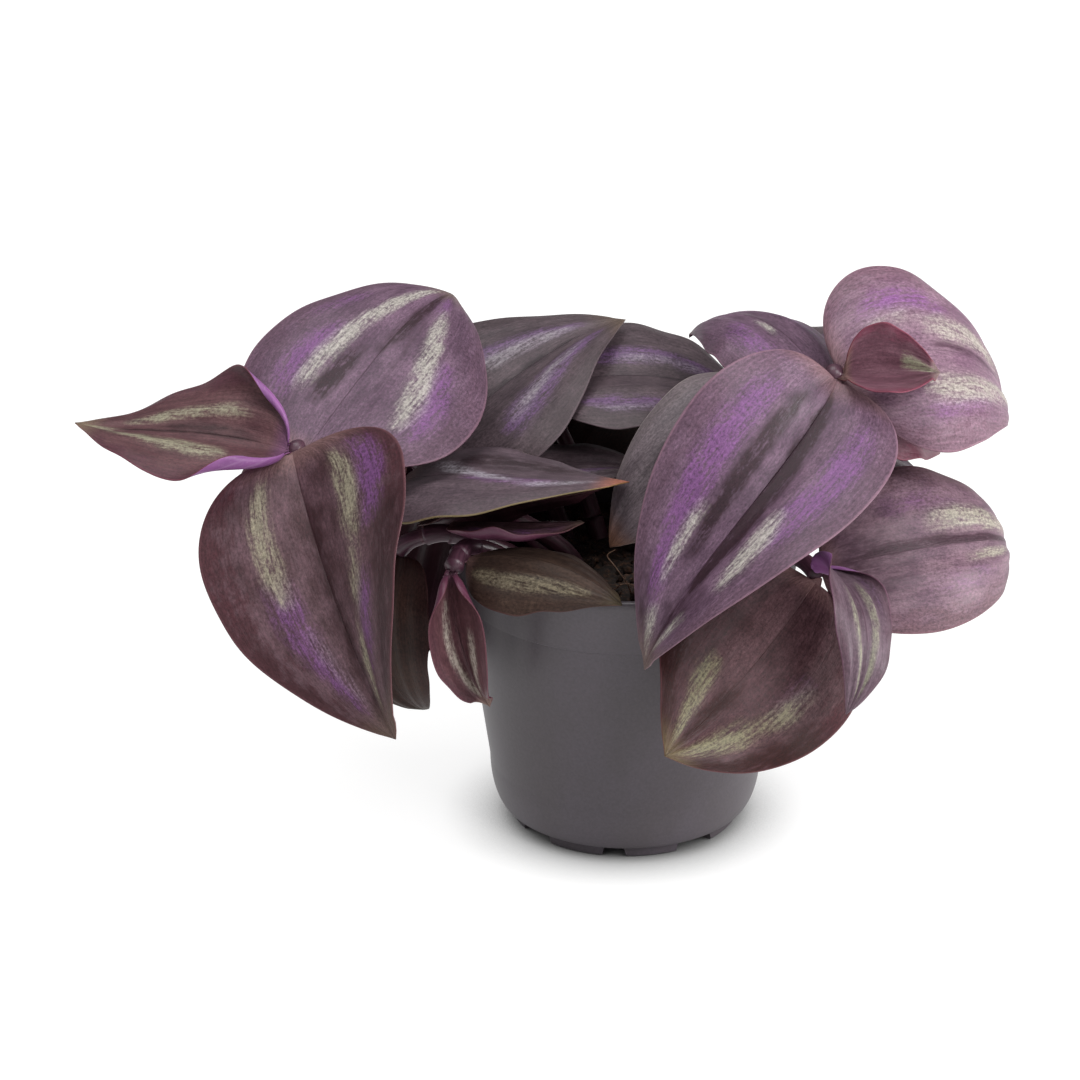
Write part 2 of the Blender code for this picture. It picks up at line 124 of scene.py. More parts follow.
def surface(tree: Tree, inputs: Mapping[str, object], relief: Socket | None = None,
            strength: float = 0.0, depth_mm: float = 0.0) -> None:
    """Finish a material with its shader.

    Args:
        tree: the material's node tree.
        inputs: the shader's sockets, linked or plain.
        relief: the pattern that stands up from the skin, where it has one.
        strength: how much of the relief shows.
        depth_mm: the relief's height in millimetres.
    """
    inputs = dict(inputs)
    if relief is not None:
        inputs["Normal"] = add_node(tree, "ShaderNodeBump", {
            "Strength": strength, "Distance": depth_mm * MM, "Height": relief}).outputs[0]
    shader = add_node(tree, "ShaderNodeBsdfPrincipled", inputs)
    add_node(tree, "ShaderNodeOutputMaterial", {"Surface": shader.outputs["BSDF"]})


def coat(tree: Tree, under: object, value: Socket, span: tuple[float, float], tone: str,
         share: float = 1.0) -> Socket:
    """Lay a tone over a colour where a value passes through a span.

    Args:
        tree: the material's node tree.
        under: the colour below, linked or plain.
        value: what decides where the tone lies.
        span: where the tone starts to show and where it is full, easing in between as
            3 t^2 - 2 t^3. The first may be above the second.
        tone: the sRGB hex colour on top.
        share: how much of the colour below the full tone hides.

    Returns:
        The colour of both.
    """
    ease = add_node(tree, "ShaderNodeMapRange", {
        "Value": value, "From Min": span[0], "From Max": span[1], "To Max": share},
        interpolation_type="SMOOTHSTEP")
    return add_node(tree, "ShaderNodeMix", {
        0: ease.outputs["Result"], 6: under, 7: to_linear(tone)}, data_type="RGBA").outputs[2]


def shade(tree: Tree, colour: Socket, pattern: Socket, span: tuple[float, float],
          swing: float) -> Socket:
    """Darken and lighten a colour by a pattern.

    Args:
        tree: the material's node tree.
        colour: the colour to shade.
        pattern: what decides how bright it is.
        span: the pattern's values where it is darkest and lightest.
        swing: the brightness goes from 1 - swing to 1 + swing.

    Returns:
        The shaded colour.
    """
    light = add_node(tree, "ShaderNodeMapRange", {
        "Value": pattern, "From Min": span[0], "From Max": span[1], "To Min": 1.0 - swing,
        "To Max": 1.0 + swing})
    return add_node(tree, "ShaderNodeMix", {0: 1.0, 6: colour, 7: light.outputs["Result"]},
                    data_type="RGBA", blend_type="MULTIPLY").outputs[2]


def swung(tree: Tree, level: object, *patterns: tuple[Socket, float]) -> Socket:
    """Swing a level by patterns that vary about a half.

    Args:
        tree: the material's node tree.
        level: the value to start from, linked or plain.
        patterns: each pattern with its weight.

    Returns:
        The level plus the sum of weight x (pattern - 0.5).
    """
    for pattern, weight in patterns:
        offset = add_node(tree, "ShaderNodeMath", {0: pattern, 1: 0.5}, operation="SUBTRACT")
        level = add_node(tree, "ShaderNodeMath", {0: offset.outputs[0], 1: weight, 2: level},
                         operation="MULTIPLY_ADD").outputs[0]
    return level


def grain(tree: Tree, place: Socket, size_mm: tuple[float, float, float], detail: float,
          rough: float) -> Socket:
    """Return a cloudy pattern with its own feature size along each axis.

    Args:
        tree: the material's node tree.
        place: coordinates in millimetres.
        size_mm: the pattern's feature size along each axis, in millimetres.
        detail: octaves of finer detail.
        rough: how strong the finer detail is.

    Returns:
        A value that varies about a half.
    """
    scale = tuple(1.0 / size for size in size_mm)
    mapped = add_node(tree, "ShaderNodeMapping", {"Vector": place, "Scale": scale})
    return add_node(tree, "ShaderNodeTexNoise", {
        "Vector": mapped.outputs[0], "Scale": 1.0, "Detail": detail,
        "Roughness": rough}).outputs["Fac"]


def object_mm(tree: Tree) -> Socket:
    """Return Object coordinates in millimetres."""
    place = add_node(tree, "ShaderNodeTexCoord").outputs["Object"]
    return add_node(tree, "ShaderNodeMapping",
                    {"Vector": place, "Scale": (1000.0, 1000.0, 1000.0)}).outputs[0]


# ---------------------------------------------------------------- finishes

@dataclass(frozen=True)
class BladeFinish:
    """The upper skin of a leaf: clear cells over purple sap, which give a satin, finely speckled
    surface. Air trapped under the skin in stripes scatters the light and reads as silver."""
    name: str
    ground: str
    cloud: str
    silver: str
    violet: str
    # painted shade of the midrib's crease; also the colour of the dark strokes
    crease_shade_and_streaks: str
    margin: str
    tip: str
    edge: str = "#94707f"
    heel: str = "#8a6a66"          # the blade's lowest part, next to the stem
    margin_from: float = 0.66      # share of the half width where the outer band begins
    margin_share: float = 0.7
    tip_share: float = 0.7
    speckle: float = 0.42
    roughness: float = 0.46
    gloss: float = 0.32            # specular level

    CELLS = (0.5, 0.8, 1.0)        # mm; real ones are about 0.1 mm, too fine to show
    VEINS = (0.7, 8.0, 1.0)        # mm; parallel veins that run the blade's length
    AIR_PATCHES = (2.2, 4.5, 1.0)  # mm; where the silver comes and goes
    CLOUDS = (6.0, 10.0, 1.0)      # mm
    MARGIN_FADE = 0.3              # width of the outer band's inner edge
    STROKE_SPAN = (0.12, 1.15)     # where a worn stroke starts to show and is full
    SWING_SPAN = (0.3, 0.7)        # most of a grain's values lie between these
    ROUGHNESS_SWING = (-0.07, 0.09)
    IOR = 1.42                     # leaf wax and cell wall

    def build(self) -> Material:
        """Make the material. The blade map runs 0 to 1 across and along, the length map is mm.

        Returns:
            The material, which also reads the strokes attribute.
        """
        material, tree = new_material(self.name)
        blade = add_node(tree, "ShaderNodeUVMap", uv_map="blade").outputs["UV"]
        place = add_node(tree, "ShaderNodeUVMap", uv_map="length").outputs["UV"]
        split = add_node(tree, "ShaderNodeSeparateXYZ", {"Vector": blade})
        signed = add_node(tree, "ShaderNodeMath", {0: split.outputs["X"], 1: 2.0, 2: -1.0},
                          operation="MULTIPLY_ADD")
        across = add_node(tree, "ShaderNodeMath", {0: signed.outputs[0]},
                          operation="ABSOLUTE").outputs[0]
        along = split.outputs["Y"]
        painted = add_node(tree, "ShaderNodeAttribute", attribute_name="strokes")
        strokes = add_node(tree, "ShaderNodeSeparateColor", {"Color": painted.outputs["Color"]})
        fine = grain(tree, place, self.CELLS, 2.5, 0.75)
        streak = grain(tree, place, self.VEINS, 3.0, 0.65)
        patch = grain(tree, place, self.AIR_PATCHES, 4.0, 0.7)
        cloud = grain(tree, place, self.CLOUDS, 3.0, 0.6)
        colour = coat(tree, to_linear(self.ground), swung(tree, cloud, (patch, 0.5)),
                      (0.28, 0.72), self.cloud)
        colour = coat(tree, colour, swung(tree, across, (patch, 0.8)),
                      (self.margin_from, self.margin_from + self.MARGIN_FADE), self.margin,
                      self.margin_share)
        worn = swung(tree, 1.0, (patch, 2.6), (fine, 1.8), (streak, 2.4))
        # Blue strokes take the crease shade colour: painted shade by the midrib, and darker
        # streaks.
        for channel, tone, share in (("Blue", self.crease_shade_and_streaks, 0.95), ("Green", self.violet, 0.85),
                                     ("Red", self.silver, 0.85)):
            left = add_node(tree, "ShaderNodeMath", {0: strokes.outputs[channel], 1: worn},
                            operation="MULTIPLY").outputs[0]
            colour = coat(tree, colour, left, self.STROKE_SPAN, tone, share)
        colour = coat(tree, colour, along, (0.84, 1.0), self.tip, self.tip_share)
        colour = coat(tree, colour, along, (0.09, 0.0), self.heel, 0.45)
        colour = shade(tree, colour, fine, self.SWING_SPAN, self.speckle)
        colour = shade(tree, colour, streak, self.SWING_SPAN, 0.2)
        # A dark line along the midrib: painted shade in its crease.
        colour = coat(tree, colour, across, (0.03, 0.004), self.crease_shade_and_streaks, 0.75)
        colour = coat(tree, colour, across, (0.978, 0.995), self.edge, 0.4)
        smoother, rougher = (self.roughness + swing for swing in self.ROUGHNESS_SWING)
        gloss = add_node(tree, "ShaderNodeMapRange", {
            "Value": fine, "From Min": self.SWING_SPAN[0], "From Max": self.SWING_SPAN[1],
            "To Min": smoother, "To Max": rougher}).outputs["Result"]
        surface(tree, {"Base Color": colour, "Roughness": gloss, "IOR": self.IOR,
                       "Specular IOR Level": self.gloss},
                swung(tree, 0.5, (fine, 0.3), (streak, 0.7)), 0.5, 0.3)
        return material


@dataclass(frozen=True)
class UndersideFinish:
    """The underside of a leaf: smooth skin over red sap, which reads as one soft, slightly
    glossy red with fine paler veins."""
    name: str
    ground: str
    cloud: str
    vein: str
    roughness: float = 0.42

    def build(self) -> Material:
        """Make the material from the length map in millimetres.

        Returns:
            The material.
        """
        material, tree = new_material(self.name)
        place = add_node(tree, "ShaderNodeUVMap", uv_map="length").outputs["UV"]
        fine = grain(tree, place, (0.5, 0.6, 1.0), 2.0, 0.6)
        streak = grain(tree, place, (0.8, 14.0, 1.0), 2.0, 0.5)
        cloud = grain(tree, place, (6.0, 12.0, 1.0), 2.0, 0.5)
        colour = coat(tree, to_linear(self.ground), cloud, (0.35, 0.65), self.cloud)
        colour = coat(tree, colour, streak, (0.5, 0.75), self.vein, 0.5)
        colour = coat(tree, colour, fine, (0.5, 0.75), self.vein, 0.3)
        surface(tree, {"Base Color": colour, "Roughness": self.roughness,
                       "IOR": BladeFinish.IOR}, streak, 0.3, 0.2)
        return material


@dataclass(frozen=True)
class StemFinish:
    """The skin of a fleshy stem: taut and waxy, so it shines softly, with fine long streaks."""
    name: str
    ground: str
    streak: str
    roughness: float = 0.4

    def build(self) -> Material:
        """Make the material from the length map: mm round the stem and mm along it.

        Returns:
            The material.
        """
        material, tree = new_material(self.name)
        place = add_node(tree, "ShaderNodeUVMap", uv_map="length").outputs["UV"]
        lines = grain(tree, place, (0.6, 8.0, 1.0), 3.0, 0.6)
        colour = coat(tree, to_linear(self.ground), lines, (0.4, 0.65), self.streak)
        surface(tree, {"Base Color": colour, "Roughness": self.roughness}, lines, 0.3, 0.15)
        return material


@dataclass(frozen=True)
class PotFinish:
    """Injection-moulded polypropylene: taupe-grey, with a faint cloud from recycled stock. The
    mould's spark-eroded texture spreads highlights into a satin sheen."""
    name: str = "moulded_polypropylene"
    ground: str = "#443d44"
    cloud: str = "#40393e"
    roughness: float = 0.42

    def build(self) -> Material:
        """Make the material. The mould's texture is about 0.3 mm, drawn at 0.6 mm to show.

        Returns:
            The material.
        """
        material, tree = new_material(self.name)
        place = object_mm(tree)
        cloud = grain(tree, place, (14.0, 14.0, 22.0), 3.0, 0.55)
        fine = grain(tree, place, (0.6, 0.6, 0.6), 2.0, 0.7)
        colour = coat(tree, to_linear(self.ground), cloud, (0.35, 0.65), self.cloud)
        colour = shade(tree, colour, fine, (0.25, 0.75), 0.16)
        surface(tree, {"Base Color": colour, "Roughness": self.roughness, "IOR": 1.49}, fine,
                0.12, 0.1)
        return material


@dataclass(frozen=True)
class CompostFinish:
    """Peat and bark: water makes it near-black and matt, with reddish fibres and pale flecks."""
    name: str = "peat_and_bark"
    ground: str = "#1d130e"
    fibre: str = "#4a3020"
    pale: str = "#7a6248"

    def build(self) -> Material:
        """Make the material from Object coordinates; crumbs are 1 to 2 mm.

        Returns:
            The material.
        """
        material, tree = new_material(self.name)
        place = object_mm(tree)
        crumb = grain(tree, place, (1.6, 1.6, 1.6), 4.0, 0.65)
        fine = grain(tree, place, (0.6, 0.6, 0.6), 2.0, 0.6)
        colour = coat(tree, to_linear(self.ground), crumb, (0.45, 0.7), self.fibre)
        colour = coat(tree, colour, fine, (0.66, 0.74), self.pale)
        surface(tree, {"Base Color": colour, "Roughness": 0.9}, crumb, 0.8, 0.6)
        return material


class Skin(Enum):
    """The upper skins that the leaves wear, by age and tone. The olive and umber skins are
    darkened copies that paint shade on leaves in the plant's shadow.
    """
    MATURE = BladeFinish("leaf_skin_mature", "#6a5264", "#4f3a4a", "#9c9890", "#6e4674",
                         "#2a181f", "#5a4351", "#665648")
    GILT = BladeFinish("leaf_skin_gilt", "#57484f", "#43363d", "#918b92", "#654668",
                       "#2a1c21", "#483a40", "#b06a4c", edge="#8f8040")
    PALE = BladeFinish("leaf_skin_pale", "#806674", "#6a4e60", "#99938a", "#7a4f80", "#452f3b",
                       "#6c4f5c", "#7c6659", edge="#9c7683")
    DOVE = BladeFinish("leaf_skin_dove", "#785f6a", "#5c4552", "#959082", "#72506f", "#3b2730",
                       "#634a51", "#7c6659", edge="#8a6068", margin_share=0.8)
    BRONZE = BladeFinish("leaf_skin_bronze", "#5c444b", "#402a2e", "#88826f", "#6b4372",
                         "#2c161a", "#44242a", "#5c4c40", edge="#6d454c", margin_share=0.9)
    RUSSET = BladeFinish("leaf_skin_russet", "#4e363a", "#382225", "#6e6a53", "#523551",
                         "#28100f", "#3a1b20", "#5d5238", edge="#6f4448", margin_share=0.95,
                         gloss=0.2)
    YOUNG = BladeFinish("leaf_skin_young", "#5c3f42", "#472b30", "#8a8672", "#603a5c",
                        "#2b171a", "#50303a", "#786a55", edge="#7d3f50", heel="#6d4470",
                        speckle=0.3, gloss=0.25)
    EMBER = BladeFinish("leaf_skin_ember", "#5f4045", "#4c3035", "#a1988e", "#643d5f",
                        "#301b1f", "#54333b", "#7a6455", edge="#74424f", heel="#4d3048",
                        speckle=0.3)
    MAUVE = BladeFinish("leaf_skin_mauve", "#62505a", "#4f3d47", "#807d6e", "#60466a",
                        "#3f2a36", "#503a44", "#5a4750", edge="#73495f", heel="#80508a",
                        speckle=0.3)
    FLUSH = BladeFinish("leaf_skin_flush", "#6b4a55", "#5a3a45", "#85856f", "#6b4059",
                        "#40262e", "#6d2f43", "#82826c", edge="#7d3547", heel="#6d5a48",
                        margin_from=0.7, margin_share=0.6, tip_share=0.3, speckle=0.25)
    DUSK = BladeFinish("leaf_skin_dusk", "#53464b", "#3f3439", "#7d777a", "#604668", "#261b20",
                       "#43383b", "#5f5042", edge="#6a5a60")
    SLATE = BladeFinish("leaf_skin_slate", "#675c61", "#544a4f", "#6c666a", "#65566a",
                        "#3c3238", "#645a5c", "#9a6c50", edge="#9f9490")
    # Painted shade: a darkened copy, with less gloss, for a leaf in the shadow of the leaves above
    # it.
    SHADED_OLIVE = BladeFinish("leaf_skin_shaded_olive", "#3d2f28", "#302521", "#6c6453", "#453640",
                        "#1e1512", "#342520", "#3d3624", edge="#5a3c3c", gloss=0.2)
    # Painted shade: the darkest copy, with less gloss, for leaves deep inside the plant.
    SHADED_UMBER = BladeFinish("leaf_skin_shaded_umber", "#33221d", "#291a17", "#453b2e", "#38242c",
                        "#1a1010", "#2d1b1a", "#352f22", edge="#4a2d2f", heel="#301c1c",
                        gloss=0.15)


class Underside(Enum):
    """The undersides, by age: lilac on the youngest. The dark one is painted shade, for leaves
    deep inside the plant.
    """
    WINE = UndersideFinish("leaf_underside_wine", "#5f3346", "#4e283c", "#764c62")
    CRIMSON = UndersideFinish("leaf_underside_crimson", "#6c3546", "#5a2a3a", "#7d4858")
    LILAC = UndersideFinish("leaf_underside_lilac", "#905a92", "#7c4c80", "#a582a8")
    # Painted shade: a darkened underside for leaves deep inside the plant.
    DARK = UndersideFinish("leaf_underside_shaded", "#3f2028", "#31181f", "#573441")


class Slot(Enum):
    """The record's material slots."""
    POT = "pot"
    COMPOST = "compost"
    STEM = "stem"
    LEAF = "leaf"
    YOUNG = "young_leaf"
    SHADED = "shaded_leaf"


class Tone(Enum):
    """What a stroke on a leaf holds, as the channel of the attribute that carries it."""
    SILVER = 0
    VIOLET = 1
    # painted shade by the midrib, and darker streaks
    DARK = 2


# ---------------------------------------------------------------- meshes

def wrapped_faces(rows: int, columns: int) -> Array:
    """Return the four-sided faces of a grid whose rows are closed loops.

    Args:
        rows: loops along the path.
        columns: vertices in each loop.

    Returns:
        Face corners as an array of shape (faces, 4), going round each cell of the grid.
    """
    index = np.arange(rows * columns).reshape(rows, columns)
    index = np.concatenate([index, index[:, :1]], axis=1)
    return np.stack([index[:-1, :-1], index[:-1, 1:], index[1:, 1:], index[1:, :-1]],
                    axis=-1).reshape(-1, 4)


def fan_faces(loop: Array, centre: int) -> Array:
    """Return triangles from each side of a loop of vertices to one centre vertex."""
    return np.stack([loop, np.roll(loop, -1), np.full_like(loop, centre)], axis=1)


@dataclass
class Mesh:
    """A mesh in millimetres while it is put together, with what its material reads."""
    points: Array
    faces: Sequence[Sequence[int]]
    slots: Array | None = None                       # material number of each face
    maps: dict[str, Array] = field(default_factory=dict)
    colours: dict[str, Array] = field(default_factory=dict)

    @classmethod
    def capped(cls, grid: Array, ends: Sequence[Sequence[float]] | Array,
               maps: dict[str, Array] | None = None) -> "Mesh":
        """Close a grid of looped rows with a fan of triangles at each end.

        Args:
            grid: points of shape (rows, columns, 3).
            ends: the centre point of each end.
            maps: values of each point and then of the two centres.

        Returns:
            The closed mesh, facing out.
        """
        rows, columns = grid.shape[:2]
        last, loop = rows * columns, np.arange(columns)
        faces = [*wrapped_faces(rows, columns).tolist(),
                 *fan_faces(loop[::-1], last).tolist(),
                 *fan_faces(loop + last - columns, last + 1).tolist()]
        return cls(np.concatenate([grid.reshape(-1, 3), ends]), faces,
                   maps=maps or {}).facing_out()

    def facing_out(self) -> "Mesh":
        """Turn every face round if the mesh is inside out.

        Its signed volume tells: a sixth of the sum over triangles of a . (b x c).

        Returns:
            The mesh itself.
        """
        fans = [np.asarray(face) for face in self.faces]
        triangles = np.concatenate([np.stack([np.full(len(f) - 2, f[0]), f[1:-1], f[2:]], axis=1)
                                    for f in fans])
        a, b, c = (self.points[triangles[:, k]] for k in range(3))
        if np.einsum("ij,ij->i", a, np.cross(b, c)).sum() < 0.0:
            self.faces = [face[::-1] for face in self.faces]
        return self

    def to_piece(self, name: str, materials: Sequence[Material],
                 slot: Slot, smooth: bool = True) -> bpy.types.Object:
        """Make the Blender object and let it ride on the plant's one body.

        Args:
            name: the piece's name.
            materials: the materials that the faces' numbers name.
            slot: the record's material slot; not used.
            smooth: whether its faces are shaded smooth.

        Returns:
            The linked object, at the origin, with its place in its mesh.
        """
        mesh = bpy.data.meshes.new(name)
        mesh.from_pydata(self.points * MM, [], self.faces)
        for material in materials:
            mesh.materials.append(material)
        if self.slots is not None:
            mesh.polygons.foreach_set("material_index", self.slots.astype(np.int32))
        corners = np.empty(len(mesh.loops), np.int32)
        mesh.loops.foreach_get("vertex_index", corners)
        for title, values in self.maps.items():
            layer = mesh.uv_layers.new(name=title)
            layer.uv.foreach_set("vector", values[corners].astype(np.float32).ravel())
        for title, values in self.colours.items():
            layer = mesh.color_attributes.new(title, "FLOAT_COLOR", "POINT")
            layer.data.foreach_set("color", values.astype(np.float32).ravel())
        mesh.polygons.foreach_set("use_smooth", np.full(len(mesh.polygons), smooth))
        mesh.update()
        piece = bpy.data.objects.new(name, mesh)
        bpy.context.scene.collection.objects.link(piece)
        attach(piece, BODY)
        LOG.info("%s: %d faces", name, len(mesh.polygons))
        return piece


def smooth_line(route: Array, spacing: float) -> Array:
    """Return points at an even spacing along a Catmull-Rom curve through a route.

    Between two route points the curve is half of (2 b + (c - a) u + (2 a - 5 b + 4 c - d) u^2 +
    (3 b - a - 3 c + d) u^3), where a to d are four neighbours in turn and u goes from 0 to 1.

    Args:
        route: points in millimetres.
        spacing: distance between the points returned.

    Returns:
        The points, evenly spaced by arc length.
    """
    ends = (2 * route[:1] - route[1:2], route, 2 * route[-1:] - route[-2:-1])
    a, b, c, d = (np.concatenate(ends)[k:len(route) - 1 + k][:, None] for k in range(4))
    u = np.linspace(0.0, 1.0, ROUTE_STEPS, endpoint=False)[None, :, None]
    fine = 0.5 * (2 * b + (c - a) * u + (2 * a - 5 * b + 4 * c - d) * u ** 2
                  + (3 * b - a - 3 * c + d) * u ** 3)
    fine = np.concatenate([fine.reshape(-1, 3), route[-1:]])
    reach = np.concatenate([[0.0], np.cumsum(np.linalg.norm(np.diff(fine, axis=0), axis=1))])
    wanted = np.linspace(0.0, reach[-1], max(2, round(reach[-1] / spacing)) + 1)
    return sample(wanted, reach, fine)


def sample(at: Array, stations: Array, rows: Array) -> Array:
    """Read rows of numbers at given stations, straight between their neighbours.

    Args:
        at: where to read, an array of any shape.
        stations: where the rows stand, in rising order.
        rows: the numbers at each station.

    Returns:
        The rows read, of the shape of at and then of one row.
    """
    flat = rows.reshape(len(rows), -1)
    read = np.stack([np.interp(at, stations, column) for column in flat.T], axis=-1)
    return read.reshape(*at.shape, *rows.shape[1:])


def unit(vectors: Array) -> Array:
    """Return the vectors at a length of one."""
    return vectors / np.maximum(np.linalg.norm(vectors, axis=-1, keepdims=True), 1e-9)


def tube(line: Array, radii: Array, sides: int) -> Mesh:
    """Carry a circle along a line: point = line + radius (cos v side + sin v up).

    Args:
        line: the path's points.
        radii: the radius at each of them.
        sides: corners round the circle.

    Returns:
        A closed tube with a domed end at each side and a length map in millimetres.
    """
    heading = unit(np.gradient(line, axis=0))
    side = unit(np.cross(heading, np.where(np.abs(heading[:, 2:]) < 0.9, [[0.0, 0.0, 1.0]],
                                           [[0.0, 1.0, 0.0]])))
    up = np.cross(side, heading)
    turn = np.linspace(0.0, 2.0 * math.pi, sides, endpoint=False)
    ring = np.cos(turn)[None, :, None] * side[:, None] + np.sin(turn)[None, :, None] * up[:, None]
    body = line[:, None] + ring * radii[:, None, None]
    ends = np.stack([line[0] - heading[0] * radii[0] * 0.4,
                     line[-1] + heading[-1] * radii[-1] * 0.6])
    reach = np.concatenate([[0.0], np.cumsum(np.linalg.norm(np.diff(line, axis=0), axis=1))])
    around = np.broadcast_to(turn * radii.mean(), (len(line), sides))
    map_mm = np.stack([around, np.broadcast_to(reach[:, None], around.shape)], axis=-1)
    map_mm = np.concatenate([map_mm.reshape(-1, 2), [[0.0, 0.0], [0.0, reach[-1]]]])
    return Mesh.capped(body, ends, {"length": map_mm})


def joined(meshes: Sequence[Mesh]) -> Mesh:
    """Put several meshes into one.

    Args:
        meshes: the meshes, which all have the same maps.

    Returns:
        One mesh with the same maps.
    """
    starts = np.cumsum([0, *(len(mesh.points) for mesh in meshes)])
    faces = [[corner + start for corner in face]
             for mesh, start in zip(meshes, starts.tolist()) for face in mesh.faces]
    maps = {name: np.concatenate([mesh.maps[name] for mesh in meshes]) for name in meshes[0].maps}
    return Mesh(np.concatenate([mesh.points for mesh in meshes]), faces, maps=maps)


# ---------------------------------------------------------------- leaves

@dataclass(frozen=True)
class Stroke:
    """A soft-edged stroke of colour that runs along a leaf, with the veins."""
    tone: Tone
    start: float                   # share of the length where it begins
    end: float
    near: float                    # place across, -1 to 1, at its start: left is above 0
    middle: float                  # halfway
    far: float                     # and at its end
    width: float
    strength: float = 1.0

    EASE = 0.14                    # share of the leaf's length over which an end fades
    EASE_MOST = 0.4                # and the most of a short stroke that it takes

    def weight(self, along: Array, across: Array) -> Array:
        """Work out the stroke's strength over the blade.

        It is a bell across, exp(-((place - path) / width)^2), times an ease in and out at its
        two ends. The path is the parabola through near, middle and far: with u from 0 to 1,
        near (1 - u) (1 - 2 u) + 4 middle u (1 - u) + far u (2 u - 1).

        Args:
            along: share of the length, an array over the grid.
            across: place from -1 at the right margin to 1 at the left.

        Returns:
            The strength at each point of the grid.
        """
        u = np.clip((along - self.start) / (self.end - self.start), 0.0, 1.0)
        path = (self.near * (1.0 - u) * (1.0 - 2.0 * u) + 4.0 * self.middle * u * (1.0 - u)
                + self.far * u * (2.0 * u - 1.0))
        bell = np.exp(-((across - path) / self.width) ** 2)
        ease = min(self.EASE, self.EASE_MOST * (self.end - self.start))
        ends = np.clip((along - self.start) / ease, 0.0, 1.0) * np.clip(
            (self.end - along) / ease, 0.0, 1.0)
        return self.strength * bell * np.sqrt(ends)


# Strokes by colour: start, end, near, middle, far, width and, where it isn't 1, strength.
# Dark strokes next to the midrib are painted shade of its crease.
silver, violet, dark = (partial(Stroke, tone) for tone in Tone)


def usual_strokes(seed: int) -> tuple[Stroke, ...]:
    """Return the usual pattern: on each half a silver stripe, violet outside it, and a dark band
    by the midrib, which is painted shade of its crease.

    Args:
        seed: settles this leaf's own small differences.

    Returns:
        The strokes.
    """
    draw = np.random.default_rng(seed)
    strokes = []
    for side in (1.0, -1.0):
        shift, cut, swell = draw.uniform(-1.0, 1.0, 3)
        near = side * (0.50 + 0.05 * shift)
        strokes += [
            silver(0.30 + 0.12 * cut, 0.84 + 0.08 * swell, near, side * (0.42 + 0.05 * shift),
                   side * 0.36, 0.10 + 0.02 * swell, 0.9),
            violet(0.10, 0.66 + 0.1 * cut, side * 0.62, near * 1.2, side * 0.5, 0.13, 0.85),
            dark(0.08, 0.8, side * 0.1, side * 0.13, side * 0.08, 0.08 + 0.02 * swell, 0.75)]
    return tuple(strokes)


